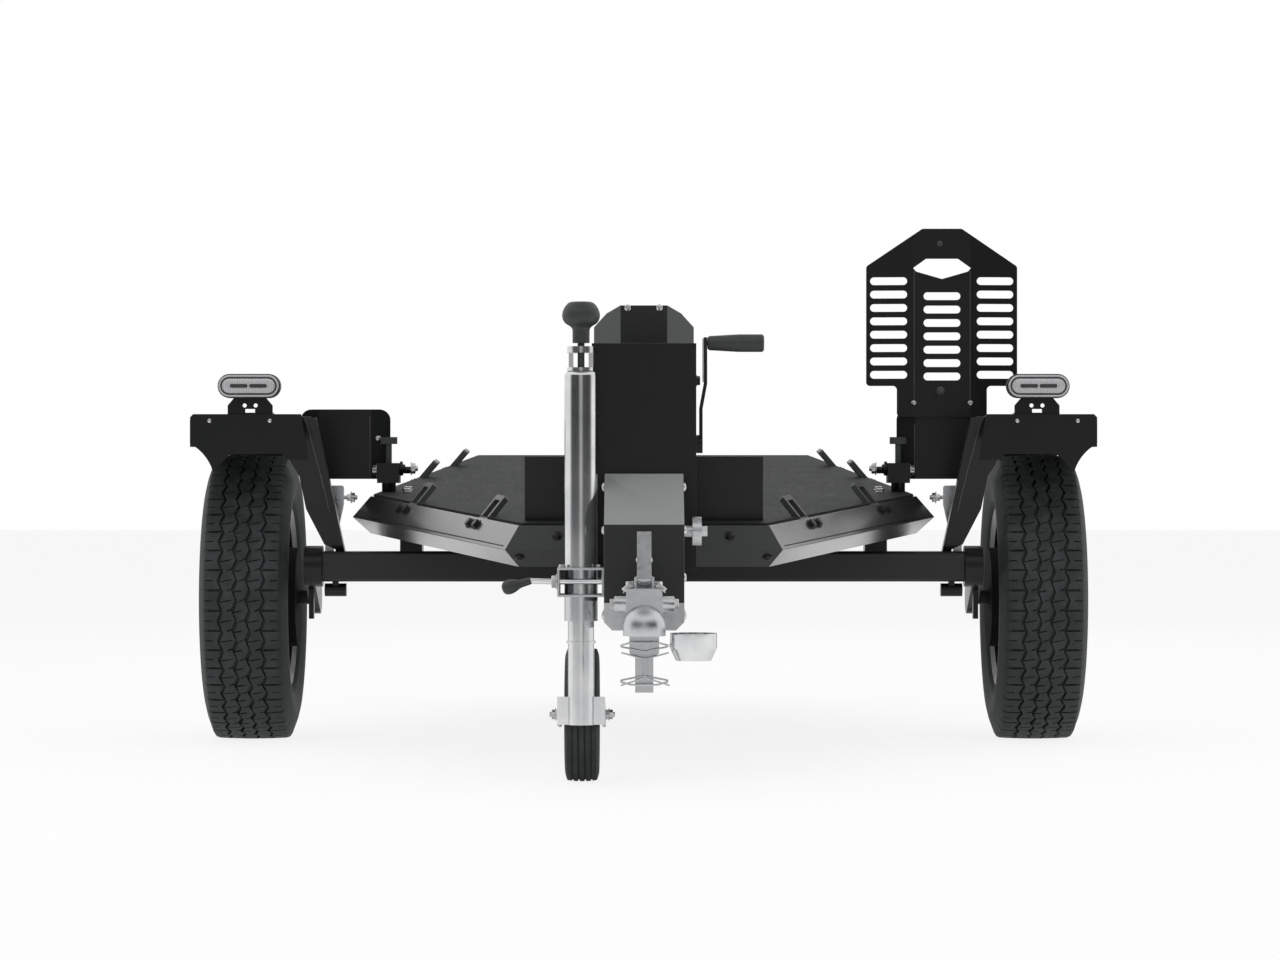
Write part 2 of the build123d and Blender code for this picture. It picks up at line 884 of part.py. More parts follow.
# Crank grip: a tapered handle on the pin
grip_start = crank_head_face + crank_bar_thickness + side_play
grip_plane = Plane(origin=(grip_start, ahead(crank_ahead), crank_head), x_dir=(1, 0, 0), z_dir=(0, -1, 0))
with BuildPart() as crank_grip:
    with BuildSketch(grip_plane):
        with BuildLine():
            Polyline(
                (0, 0),
                (0, grip_root_radius - grip_edge),
                (grip_edge, grip_root_radius),
                (grip_swell, grip_tip_radius),
                (grip_length - grip_edge, grip_tip_radius),
                (grip_length, grip_tip_radius - grip_edge),
                (grip_length, 0),
                close=True,
            )
        make_face()
    revolve(axis=Axis((0, ahead(crank_ahead), crank_head), (1, 0, 0)))
    with BuildSketch(side_plane(grip_start)):
        with Locations((ahead(crank_ahead), crank_head)):
            Circle(grip_pin_radius + turn_gap)
    extrude(amount=grip_length - grip_pin_radius + side_play, mode=Mode.SUBTRACT)
crank_grip.part.label = "crank_grip"
export_step(crank_grip.part, "parts/crank_grip.step")

# Strap roller on the hood's right wall
with BuildPart() as guide_roller:
    with BuildSketch(side_plane(head_half_width)):
        with Locations((ahead(roller_ahead), roller_height)):
            Circle(roller_nut_radius)
    extrude(amount=roller_bracket)
    with BuildSketch(side_plane(head_half_width + roller_bracket)):
        with Locations((ahead(roller_ahead), roller_height)):
            Circle(roller_radius)
    extrude(amount=roller_width)
    with BuildSketch(side_plane(head_half_width + roller_bracket + roller_width)):
        with Locations((ahead(roller_ahead), roller_height)):
            RegularPolygon(roller_nut_radius, 6)
    extrude(amount=roller_nut_width)
guide_roller.part.label = "guide_roller"
export_step(guide_roller.part, "parts/guide_roller.step")

# Deck outline, counter-clockwise from above, in the deck's own plane
right_corners = [
    Vector(deck_front_half, -deck_front),
    Vector(deck_wide_half, -deck_wide),
    Vector(deck_rear_half, deck_rear),
]
deck_corners = right_corners + [Vector(-corner.X, corner.Y) for corner in right_corners[::-1]]
rail_names = (
    "front_wing_right",
    "rear_wing_right",
    "rear_rail",
    "rear_wing_left",
    "front_wing_left",
    "front_rail",
)


def deck_direction(vector):
    """Global direction of a direction in the deck's plane."""
    return deck_plane.x_dir * vector.X + deck_plane.y_dir * vector.Y


def deck_place(x, y, up=0):
    """Global point of a point in the deck's plane."""
    return deck_plane.from_local_coords(Vector(x, y, up))


def corner_pair(index):
    """Both ends of one side of the deck."""
    return deck_corners[index], deck_corners[(index + 1) % len(deck_corners)]


# Tie-down loops: slotted plates that rise through the wings' flanges, with a foot behind each face
face_length = math.hypot(rail_bulge, rail_drop)
face_out = rail_drop / face_length
face_up = rail_bulge / face_length
foot_shift = (loop_foot_width - loop_bar_width) / 2


def loop_plane_at(index, share):
    """Plane on the inner side of a wing's upper face: local y climbs the face from its edge."""
    start, end = corner_pair(index)
    along = (end - start).normalized()
    outward = deck_direction(Vector(along.Y, -along.X))
    point = start + (end - start) * share
    normal = outward * face_out + deck_plane.z_dir * face_up
    return Plane(
        origin=deck_place(point.X, point.Y) - normal * rail_sheet,
        x_dir=deck_direction(along),
        z_dir=normal,
    )


def loops_on(index, shares):
    """The tie-down loops of one wing."""
    with BuildPart() as loops:
        for share in shares:
            with BuildSketch(loop_plane_at(index, share).offset(-seat_gap)):
                with Locations((0, (loop_length - loop_foot_depth) / 2)):
                    RectangleRounded(loop_bar_width, loop_length + loop_foot_depth, loop_corner)
                with Locations((foot_shift, -loop_foot_top - loop_foot_depth / 2)):
                    RectangleRounded(loop_foot_width, loop_foot_depth, loop_corner)
                with Locations((0, loop_slot_bottom + loop_slot_length / 2)):
                    Rectangle(loop_slot_width, loop_slot_length, mode=Mode.SUBTRACT)
            extrude(amount=-loop_bar)
    return loops.part


keep_pair(loops_on(0, front_loop_places), "loops_front")
keep_pair(loops_on(1, rear_loop_places), "loops_rear")

# Passages for the loops through the wings' flanges and the deck plate
with BuildPart() as right_passages:
    for index, shares in enumerate((front_loop_places, rear_loop_places)):
        for share in shares:
            with BuildSketch(loop_plane_at(index, share)):
                with Locations((0, loop_slot_length / 2 - loop_foot_top)):
                    Rectangle(loop_bar_width + 2 * loop_clear, loop_slot_length)
            extrude(amount=-loop_bar - seat_gap - loop_clear)
with BuildPart() as loop_passages:
    add(right_passages.part)
    mirror(about=Plane.YZ)

# Deck rails: one folded sheet a side, bulged to a crease, mitred at the corners
rail_section = sheet_outline(
    [(-rail_flange, 0), (0, 0), (rail_bulge, -rail_drop), (0, -rail_height), (-rail_lip, -rail_height)],
    rail_sheet,
)
for index, name in enumerate(rail_names):
    start, end = corner_pair(index)
    along = (end - start).normalized()
    before = (start - deck_corners[index - 1]).normalized()
    after = (deck_corners[(index + 2) % len(deck_corners)] - end).normalized()
    middle = (start + end) / 2
    section = Plane(
        origin=deck_place(middle.X, middle.Y),
        x_dir=deck_direction(Vector(along.Y, -along.X)),
        z_dir=deck_direction(along) * -1,
    )
    with BuildPart() as rail:
        with BuildSketch(section):
            with BuildLine():
                Polyline(*rail_section, close=True)
            make_face()
        extrude(amount=(end - start).length / 2 + 2 * rail_bulge, both=True)
        split(
            bisect_by=Plane(origin=deck_place(start.X, start.Y), z_dir=deck_direction(along + before)),
            keep=Keep.TOP,
        )
        split(
            bisect_by=Plane(origin=deck_place(end.X, end.Y), z_dir=deck_direction(along + after)),
            keep=Keep.BOTTOM,
        )
        add(loop_passages.part, mode=Mode.SUBTRACT)
    keep(rail.part, name)

# Deck plate on the rails' flanges
with BuildPart() as deck_plate:
    with BuildSketch(deck_plane):
        with BuildLine():
            Polyline(*deck_corners, close=True)
        make_face()
        offset(amount=-deck_inset, kind=Kind.INTERSECTION)
    extrude(amount=deck_thickness)
    add(loop_passages.part, mode=Mode.SUBTRACT)
deck_plate.part.label = "deck_plate"
export_step(deck_plate.part, "parts/deck_plate.step")


def deck_half(y):
    """Half width of the deck's outline at a place along it."""
    front, wide, rear = right_corners
    if y < wide.Y:
        return front.X + (wide.X - front.X) * (y - front.Y) / (wide.Y - front.Y)
    return wide.X + (rear.X - wide.X) * (y - wide.Y) / (rear.Y - wide.Y)


def cross_half(y):
    """Half length of a cross channel that ends clear of the rails' flanges."""
    edge = min(deck_half(y - frame_tube_width / 2), deck_half(y + frame_tube_width / 2))
    return edge - rail_flange - frame_clear


# Deck frame: a spine and three cross channels under the plate, and two feet on the beam
channel_section = sheet_outline(
    [
        (-frame_tube_width / 2, -frame_tube_depth),
        (-frame_tube_width / 2, 0),
        (frame_tube_width / 2, 0),
        (frame_tube_width / 2, -frame_tube_depth),
    ],
    frame_tube_wall,
)
spine_front = -deck_front + rail_flange + frame_clear
spine_rear = deck_rear - rail_flange - frame_clear
foot_front = ahead(beam_front)
foot_rear = ahead(beam_ahead - beam_size / 2)
with BuildPart() as deck_frame:
    spine_end = deck_place(0, spine_front)
    with BuildSketch(Plane(origin=spine_end, x_dir=(-1, 0, 0), z_dir=deck_plane.y_dir)):
        with BuildLine():
            Polyline(*channel_section, close=True)
        make_face()
    extrude(amount=spine_rear - spine_front)
    for cross_y in (cross_front, cross_middle, cross_rear):
        half = cross_half(cross_y)
        with BuildSketch(Plane(origin=deck_place(-half, cross_y), x_dir=deck_plane.y_dir, z_dir=(1, 0, 0))):
            with BuildLine():
                Polyline(*channel_section, close=True)
            make_face()
        extrude(amount=2 * half)
    for foot_x in (-foot_inner - foot_width, foot_inner):
        with BuildSketch(side_plane(foot_x)):
            with BuildLine():
                Polyline(
                    (foot_front, beam_top),
                    (foot_rear, beam_top),
                    deck_point(cross_middle + frame_tube_width / 2, -frame_tube_wall),
                    deck_point(cross_middle - frame_tube_width / 2, -frame_tube_wall),
                    close=True,
                )
            make_face()
        extrude(amount=foot_width)
deck_frame.part.label = "deck_frame"
export_step(deck_frame.part, "parts/deck_frame.step")

# Bulkhead: an upright sheet across the deck with a foot flange behind it
with BuildPart() as bulkhead:
    foot = deck_place(-bulkhead_half_width, -bulkhead_ahead, deck_thickness)
    with BuildSketch(Plane(origin=foot, x_dir=deck_plane.y_dir, z_dir=(1, 0, 0))):
        with BuildLine():
            Polyline(
                *sheet_outline([(bulkhead_flange, 0), (0, 0), (0, bulkhead_height)], bulkhead_sheet),
                close=True,
            )
        make_face()
    extrude(amount=2 * bulkhead_half_width)
bulkhead.part.label = "bulkhead"
export_step(bulkhead.part, "parts/bulkhead.step")

# Wheel chock: a bent upright sheet behind the bulkhead, its wings swept back
chock_base = deck_place(0, bulkhead_sheet - bulkhead_ahead, deck_thickness + bulkhead_sheet)
with BuildPart() as wheel_chock:
    with BuildSketch(Plane(origin=chock_base, x_dir=(1, 0, 0), z_dir=deck_plane.z_dir)):
        with BuildLine():
            Polyline(
                *sheet_outline(
                    [
                        (chock_half_width, chock_wing_back),
                        (chock_half_flat, 0),
                        (-chock_half_flat, 0),
                        (-chock_half_width, chock_wing_back),
                    ],
                    chock_sheet,
                ),
                close=True,
            )
        make_face()
    extrude(amount=chock_height)
    with BuildSketch(Plane(origin=chock_base, x_dir=(1, 0, 0), z_dir=deck_plane.y_dir * -1)):
        with BuildLine():
            Polyline(
                (-chock_half_width - chock_sheet, 0),
                (-chock_half_width - chock_sheet, chock_height - chock_shoulder_drop),
                (-chock_half_width + chock_corner_in, chock_height - chock_corner_drop),
                (-chock_half_flat, chock_height),
                (chock_half_flat, chock_height),
                (chock_half_width - chock_corner_in, chock_height - chock_corner_drop),
                (chock_half_width + chock_sheet, chock_height - chock_shoulder_drop),
                (chock_half_width + chock_sheet, 0),
                close=True,
            )
        make_face()
    extrude(amount=2 * chock_wing_back, both=True, mode=Mode.INTERSECT)
wheel_chock.part.label = "wheel_chock"
export_step(wheel_chock.part, "parts/wheel_chock.step")

# Fender: flat-topped, with a skirt outside and an end panel cut to the tyre front and rear
panel_bottom = fender_arch_top - fender_panel_drop
fender_arch_inner = fender_skin_inner + fender_sheet
post_lean = (fender_inner - post_foot_x - post_width) / (fender_top - beam_top)
panel_inner = fender_inner - post_lean * (fender_top - panel_bottom)
with BuildPart() as fender:
    with BuildSketch(front_plane(-fender_rear)):
        with BuildLine():
            Polyline(
                *sheet_outline(
                    [
                        (fender_skin_inner, fender_top),
                        (fender_outer - 2 * fender_sheet, fender_top),
                        (fender_outer, fender_top - 2 * fender_sheet),
                        (fender_outer, fender_top - fender_skirt),
                    ],
                    fender_sheet,
                ),
                close=True,
            )
        make_face()
    extrude(amount=fender_rear + fender_front)
    for panel_ahead in (fender_front - fender_sheet, -fender_rear):
        with BuildSketch(front_plane(panel_ahead)):
            with BuildLine():
                Polyline(
                    (panel_inner, panel_bottom),
                    (fender_inner, fender_top),
                    (fender_outer - 2 * fender_sheet, fender_top),
                    (fender_outer, fender_top - 2 * fender_sheet),
                    (fender_outer, fender_top - fender_skirt),
                    (fender_outer - fender_edge, fender_top - fender_skirt),
                )
                RadiusArc(
                    (fender_outer - fender_edge, fender_top - fender_skirt),
                    (fender_horn_x, fender_horn_height),
                    -90,
                )
                Polyline(
                    (fender_horn_x, fender_horn_height),
                    (fender_arch_outer, fender_arch_top - fender_arch_step),
                    (fender_arch_outer - fender_arch_corner, fender_arch_top),
                    (fender_arch_inner + fender_arch_step, fender_arch_top),
                    (fender_arch_inner, panel_bottom),
                    (panel_inner, panel_bottom),
                )
            make_face()
        extrude(amount=fender_sheet)
keep_pair(fender.part, "fender")

# Fender post: a leaning bar from the beam to the front panel with a web towards the tyre
post_top = fender_top - 2 * fender_sheet
post_top_x = post_foot_x + post_lean * (post_top - beam_top)
post_top_ahead = fender_front - fender_sheet - seat_gap - post_depth / 2
post_run = Vector(post_top_x - post_foot_x, beam_ahead - post_top_ahead, post_top - beam_top)
web_up = Vector(0, post_run.Y, post_run.Z).normalized()
web_plane = Plane(
    origin=(0, ahead(beam_ahead + post_depth / 2), beam_top),
    x_dir=(1, 0, 0),
    z_dir=Vector(1, 0, 0).cross(web_up),
)
web_scale = 1 / web_up.Z
with BuildPart() as fender_post:
    with BuildSketch(Plane.XY.offset(beam_top)):
        with Locations((post_foot_x, ahead(beam_ahead))):
            Rectangle(post_width, post_depth)
    extrude(amount=post_run.length, dir=post_run)
    with BuildSketch(web_plane):
        with BuildLine():
            Polyline(
                (post_foot_x, 0),
                *[(post_foot_x + out, rise * web_scale) for out, rise in web_shape],
                (post_foot_x + web_reach, (panel_bottom - beam_top) * web_scale),
                (post_foot_x + web_reach, (post_top - beam_top) * web_scale),
                (post_top_x, (post_top - beam_top) * web_scale),
                close=True,
            )
        make_face()
    extrude(amount=-web_sheet)
keep_pair(fender_post.part, "fender_post")

# Lamp bracket: an angle plate on the fender, notched and bored for two screws
lamp_shoulder = fender_top + lamp_plate_shoulder
lamp_neck = lamp_shoulder + lamp_plate_slope
with BuildPart() as lamp_bracket:
    with Locations((lamp_x, ahead(lamp_back - lamp_plate_foot / 2), fender_top + lamp_plate / 2)):
        Box(2 * lamp_plate_half_width, lamp_plate_foot, lamp_plate)
    with BuildSketch(front_plane(lamp_back - lamp_plate)):
        with BuildLine():
            Polyline(
                (lamp_x - lamp_plate_half_width, fender_top),
                (lamp_x - lamp_plate_half_width, lamp_shoulder),
                (lamp_x - lamp_plate_neck, lamp_neck),
                (lamp_x - lamp_plate_neck, lamp_height),
                (lamp_x + lamp_plate_neck, lamp_height),
                (lamp_x + lamp_plate_neck, lamp_neck),
                (lamp_x + lamp_plate_half_width, lamp_shoulder),
                (lamp_x + lamp_plate_half_width, fender_top),
                close=True,
            )
        make_face()
        with Locations((lamp_x, lamp_hole_height)):
            with GridLocations(lamp_hole_spacing, 0, 2, 1):
                Circle(lamp_hole_radius, mode=Mode.SUBTRACT)
        with Locations((lamp_x, fender_top + lamp_notch_height / 2)):
            Rectangle(lamp_notch_width, lamp_notch_height, mode=Mode.SUBTRACT)
    extrude(amount=lamp_plate)
keep_pair(lamp_bracket.part, "lamp_bracket")

# Lamp: an oval housing with a slightly smaller lens
with BuildPart() as lamp:
    with BuildSketch(front_plane(lamp_back)):
        with Locations((lamp_x, lamp_height)):
            SlotOverall(lamp_length, lamp_width)
    extrude(amount=lamp_depth)
    with BuildSketch(front_plane(lamp_back + lamp_depth)):
        with Locations((lamp_x, lamp_height)):
            SlotOverall(lamp_length - 2 * lamp_lens_depth, lamp_width - 2 * lamp_lens_depth)
    extrude(amount=lamp_lens_depth, taper=30)
keep_pair(lamp.part, "lamp")

# Side reflectors on the fenders' skirts
with BuildPart() as side_reflectors:
    reflector_middle = reflector_bottom + reflector_height / 2
    with Locations((fender_outer + reflector_sheet / 2, ahead(reflector_ahead), reflector_middle)):
        Box(reflector_sheet, reflector_length, reflector_height)
    mirror(about=Plane.YZ)
side_reflectors.part.label = "side_reflectors"
export_step(side_reflectors.part, "parts/side_reflectors.step")

# Swing arm: a pivot boss at the beam's end, a trailing arm, a stub axle and a hanging strap
arm_outer = beam_half_length + seat_gap + pivot_width
with BuildPart() as swing_arm:
    with BuildSketch(side_plane(beam_half_length + seat_gap)):
        with Locations((ahead(beam_ahead), beam_height)):
            Circle(pivot_radius)
    extrude(amount=pivot_width)
    with BuildSketch(side_plane(arm_outer - arm_thickness)):
        with BuildLine():
            Polyline(
                (ahead(beam_ahead), beam_height + arm_end_radius),
                (ahead(0), tyre_radius + arm_end_radius),
                (ahead(0), tyre_radius - arm_end_radius),
                (ahead(beam_ahead), beam_height - arm_end_radius),
                close=True,
            )
        make_face()
        with Locations((ahead(0), tyre_radius)):
            Circle(arm_end_radius)
    extrude(amount=arm_thickness)
    with BuildSketch(side_plane(arm_outer)):
        with Locations((ahead(0), tyre_radius)):
            Circle(stub_radius)
    extrude(amount=hub_outer - spigot_cover - arm_outer)
    strap_ahead = beam_ahead - pivot_radius
    with Locations((arm_outer - arm_thickness / 2, ahead(strap_ahead), beam_height - strap_drop / 2)):
        Box(strap_width, 2 * strap_width, strap_drop)
keep_pair(swing_arm.part, "swing_arm")

# Wheel rim: barrel with bead seats, and a disc with holes, a centre bore and stud holes
rim_left = track_half - rim_width / 2
rim_right = track_half + rim_width / 2
bead_x = tyre_width * bead_share
disc_face = track_half + rim_disc_offset - rim_disc_sheet / 2
wheel_cut = Plane(origin=(0, ahead(0), tyre_radius), x_dir=(1, 0, 0), z_dir=(0, -1, 0))
wheel_axis = Axis((0, ahead(0), tyre_radius), (1, 0, 0))
with BuildPart() as rim:
    with BuildSketch(wheel_cut):
        with BuildLine():
            Polyline(
                *sheet_outline(
                    [
                        (rim_left, rim_radius),
                        (track_half - bead_x, tyre_bead_radius),
                        (rim_left + rim_seat_width, tyre_bead_radius),
                        (rim_left + rim_seat_width + rim_well_slope, rim_well_radius),
                        (rim_right - rim_outer_seat - rim_well_slope, rim_well_radius),
                        (rim_right - rim_outer_seat, tyre_bead_radius),
                        (track_half + bead_x, tyre_bead_radius),
                        (rim_right, rim_radius),
                    ],
                    rim_sheet,
                ),
                close=True,
            )
        make_face()
    revolve(axis=wheel_axis)
    with BuildSketch(side_plane(disc_face)):
        with Locations((ahead(0), tyre_radius)):
            Circle(rim_well_radius - rim_sheet / 2)
            Circle(spigot_radius + seat_gap, mode=Mode.SUBTRACT)
            with PolarLocations(rim_hole_circle, rim_hole_count):
                Circle(rim_hole_radius, mode=Mode.SUBTRACT)
            with PolarLocations(wheel_bolt_circle, wheel_bolt_count):
                Circle(wheel_stud_radius + seat_gap, mode=Mode.SUBTRACT)
    extrude(amount=rim_disc_sheet)
keep_pair(rim.part, "rim")

# Wheel hub: brake drum, flange behind the rim's disc, spigot through it, studs and nuts
with BuildPart() as wheel_hub:
    with BuildSketch(side_plane(hub_inner)):
        with Locations((ahead(0), tyre_radius)):
            Circle(brake_drum_radius)
    extrude(amount=brake_drum_width)
    with BuildSketch(side_plane(hub_inner)):
        with Locations((ahead(0), tyre_radius)):
            Circle(hub_radius)
    extrude(amount=disc_face - hub_inner)
    with BuildSketch(side_plane(disc_face)):
        with Locations((ahead(0), tyre_radius)):
            Circle(spigot_radius)
            with PolarLocations(wheel_bolt_circle, wheel_bolt_count):
                Circle(wheel_stud_radius)
    extrude(amount=hub_outer - disc_face)
    with BuildSketch(side_plane(disc_face + rim_disc_sheet)):
        with Locations((ahead(0), tyre_radius)):
            with PolarLocations(wheel_bolt_circle, wheel_bolt_count):
                RegularPolygon(wheel_bolt_radius, 6)
    extrude(amount=wheel_bolt_height)
    with BuildSketch(side_plane(hub_inner)):
        with Locations((ahead(0), tyre_radius)):
            Circle(stub_radius + turn_gap)
    extrude(amount=hub_outer - spigot_cover - hub_inner + side_play, mode=Mode.SUBTRACT)
keep_pair(wheel_hub.part, "wheel_hub")

# Tyre: round-shouldered, with four grooves round the tread
tyre_inside = tyre_bead_radius + seat_gap
flange_radius = rim_radius + bead_step
belly_radius = tyre_radius - tyre_belly
shoulder_x = tyre_width / 2 - tyre_shoulder_inset
shoulder_radius = tyre_radius - tyre_crown
with BuildPart() as tyre:
    with BuildSketch(Plane(origin=(track_half, ahead(0), tyre_radius), x_dir=(1, 0, 0), z_dir=(0, -1, 0))):
        with BuildLine():
            inside = Line((0, tyre_inside), (bead_x - seat_gap, tyre_inside))
            bead = Line(inside @ 1, (bead_x, flange_radius))
            wall = ThreePointArc(
                bead @ 1,
                (tyre_width / 2, belly_radius),
                (shoulder_x + tyre_shoulder_reach, tyre_radius - tyre_shoulder_drop),
            )
            shoulder = RadiusArc(wall @ 1, (shoulder_x, shoulder_radius), -tyre_shoulder_drop)
            ThreePointArc(
                shoulder @ 1,
                (shoulder_x / 2, tyre_radius - tyre_crown / 4),
                (0, tyre_radius),
            )
            Line((0, tyre_radius), (0, tyre_inside))
        make_face()
        mirror(about=Plane.YZ)
        with Locations((0, tyre_radius)):
            with GridLocations(tyre_groove_pitch, 0, 4, 1):
                Rectangle(tyre_groove_width, 2 * tyre_groove_depth, mode=Mode.SUBTRACT)
    revolve(axis=wheel_axis)
keep_pair(tyre.part, "tyre")

# Side bracket: a bent upright sheet and a tab bolted to the clamp block; the right one has the ramp's ears
def bent_sheet(back, half_width, fold_half, face_ahead, sheet):
    """Plan of an upright sheet whose outer thirds are bent back."""
    front = ahead(face_ahead)
    return sheet_outline(
        [
            (side_centre + half_width, front + back),
            (side_centre + fold_half, front),
            (side_centre - fold_half, front),
            (side_centre - half_width, front + back),
        ],
        sheet,
    )


pin_ahead = side_ahead - ramp_pin_back
tab_bottom = side_bottom
tab_height = block_bottom + block_height - tab_bottom
with BuildPart() as side_bracket:
    with BuildSketch(Plane.XY.offset(side_bottom)):
        with BuildLine():
            Polyline(
                *bent_sheet(side_fold_back, side_half_width, side_fold_half, side_ahead, side_sheet),
                close=True,
            )
        make_face()
    extrude(amount=side_top - side_bottom)
    with BuildSketch(front_plane(side_ahead)):
        with Locations((side_centre, (side_top + side_bottom) / 2)):
            corner_plate = Rectangle(2 * side_half_width, side_top - side_bottom)
        fillet(corner_plate.vertices().group_by(Axis.Y)[-1], side_corner)
    extrude(amount=4 * side_fold_back, both=True, mode=Mode.INTERSECT)
    with BuildSketch(side_plane(block_outer)):
        with Locations((ahead(side_ahead - side_fold_back + tab_length / 2), tab_bottom + tab_height / 2)):
            RectangleRounded(tab_length, tab_height, side_sheet)
        with Locations((ahead(block_rear + block_depth / 4), plunger_height)):
            Circle(tab_bolt_radius + turn_gap, mode=Mode.SUBTRACT)
    extrude(amount=side_sheet)
with BuildPart() as ramp_bracket:
    add(side_bracket.part)
    for ear_x in (side_centre - ear_half, side_centre + ear_half - ear_sheet):
        with BuildSketch(side_plane(ear_x)):
            with BuildLine():
                Polyline(
                    (ahead(side_ahead - side_sheet / 2), ear_bottom),
                    (ahead(side_ahead - side_sheet / 2), side_top),
                    (ahead(pin_ahead) - ear_radius, ramp_pin_height),
                    (ahead(pin_ahead) + ear_radius, ramp_pin_height),
                    (ahead(pin_ahead) + ear_radius, ear_bottom + ear_radius),
                    close=True,
                )
            make_face()
            with Locations((ahead(pin_ahead), ramp_pin_height)):
                Circle(ear_radius)
                Circle(ramp_pin_radius + turn_gap, mode=Mode.SUBTRACT)
        extrude(amount=ear_sheet)
keep(ramp_bracket.part, "side_bracket_right")
with BuildPart() as plain_bracket:
    add(side_bracket.part.mirror(Plane.YZ))
keep(plain_bracket.part, "side_bracket_left")

# Ramp plate: bent like its bracket, with three columns of slots and a hand hole, on two pins
with BuildPart() as ramp_plate:
    with BuildSketch(Plane.XY.offset(ramp_neck_bottom)):
        with BuildLine():
            Polyline(
                *bent_sheet(
                    ramp_fold_back,
                    ramp_half_width,
                    ramp_fold_half,
                    pin_ahead + ramp_plate_ahead + ramp_sheet,
                    ramp_sheet,
                ),
                close=True,
            )
        make_face()
    extrude(amount=ramp_top - ramp_neck_bottom)
    with BuildSketch(front_plane(pin_ahead)):
        with BuildLine():
            Polyline(
                (side_centre - ramp_neck_half, ramp_neck_bottom),
                (side_centre - ramp_neck_half, ramp_wide_bottom),
                (side_centre - ramp_half_width, ramp_wide_bottom),
                (side_centre - ramp_half_width, ramp_shoulder),
                (side_centre - ramp_top_half, ramp_top),
                (side_centre + ramp_top_half, ramp_top),
                (side_centre + ramp_half_width, ramp_shoulder),
                (side_centre + ramp_half_width, ramp_wide_bottom),
                (side_centre + ramp_neck_half, ramp_wide_bottom),
                (side_centre + ramp_neck_half, ramp_neck_bottom),
                close=True,
            )
        ramp_outline = make_face()
        fillet(ramp_outline.vertices(), ramp_corner)
        for column, first, count in (
            (-slot_side_offset, slot_first_height, slot_side_count),
            (0, slot_centre_first, slot_centre_count),
            (slot_side_offset, slot_first_height, slot_side_count),
        ):
            with Locations([(side_centre + column, first + step * slot_pitch) for step in range(count)]):
                SlotOverall(slot_length, slot_height, mode=Mode.SUBTRACT)
        with BuildLine():
            Polyline(
                (side_centre - hand_hole_half_top, hand_hole_top),
                (side_centre + hand_hole_half_top, hand_hole_top),
                (side_centre + hand_hole_half_width, hand_hole_side),
                (side_centre + hand_hole_half_bottom, hand_hole_shoulder),
                (side_centre, hand_hole_bottom),
                (side_centre - hand_hole_half_bottom, hand_hole_shoulder),
                (side_centre - hand_hole_half_width, hand_hole_side),
                close=True,
            )
        make_face(mode=Mode.SUBTRACT)
    extrude(amount=4 * ramp_plate_ahead, both=True, mode=Mode.INTERSECT)
    tab_half = ear_half - ear_sheet - side_play
    tab_reach = ramp_plate_ahead + ramp_sheet / 2
    for tab_x in (side_centre - tab_half, side_centre + tab_half - ramp_tab_sheet):
        with BuildSketch(side_plane(tab_x)):
            with Locations((ahead(pin_ahead + tab_reach / 2), ramp_pin_height)):
                Rectangle(tab_reach, 2 * ramp_tab_radius)
            with Locations((ahead(pin_ahead), ramp_pin_height)):
                Circle(ramp_tab_radius)
        extrude(amount=ramp_tab_sheet)
    for pin_start in (side_centre - ear_half, side_centre + tab_half - ramp_tab_sheet):
        with BuildSketch(side_plane(pin_start)):
            with Locations((ahead(pin_ahead), ramp_pin_height)):
                Circle(ramp_pin_radius)
        extrude(amount=ear_sheet + side_play + ramp_tab_sheet)
ramp_plate.part.label = "ramp_plate"
export_step(ramp_plate.part, "parts/ramp_plate.step")

# Clamp block: bored for the T-handle, on a boss that stands on the deck, with a spring plunger
block_x = (block_inner + block_outer) / 2
block_ahead = block_rear + block_depth / 2
tab_bolt_ahead = block_rear + block_depth / 4
with BuildPart() as clamp_block:
    with BuildSketch(Plane.XY.offset(block_bottom - block_height)):
        with Locations((block_x, ahead(block_ahead))):
            Circle(block_boss_radius)
    extrude(amount=block_height)
    split(bisect_by=deck_plane.offset(deck_thickness), keep=Keep.TOP)
    with Locations((block_x, ahead(block_ahead), block_bottom + block_height / 2)):
        Box(block_outer - block_inner, block_depth, block_height)
    with BuildSketch(side_plane(block_inner - plunger_length)):
        with Locations((ahead(block_ahead), plunger_height)):
            Circle(plunger_radius)
    extrude(amount=plunger_length)
    with BuildSketch(side_plane(block_inner - plunger_nut_width)):
        with Locations((ahead(block_ahead), plunger_height)):
            RegularPolygon(plunger_nut_radius, 6)
    extrude(amount=plunger_nut_width)
    with BuildSketch(side_plane(block_outer)):
        with Locations((ahead(tab_bolt_ahead), plunger_height)):
            Circle(tab_bolt_radius)
    extrude(amount=side_sheet)
    with BuildSketch(side_plane(block_outer + side_sheet)):
        with Locations((ahead(tab_bolt_ahead), plunger_height)):
            RegularPolygon(block_bolt_radius, 6)
    extrude(amount=block_bolt_height)
    with BuildSketch(Plane.XY.offset(block_bottom + block_height - t_stem_depth)):
        with Locations((block_x, ahead(block_ahead))):
            Circle(t_stem_radius + turn_gap)
    extrude(amount=t_stem_depth, mode=Mode.SUBTRACT)
keep_pair(clamp_block.part, "clamp_block")

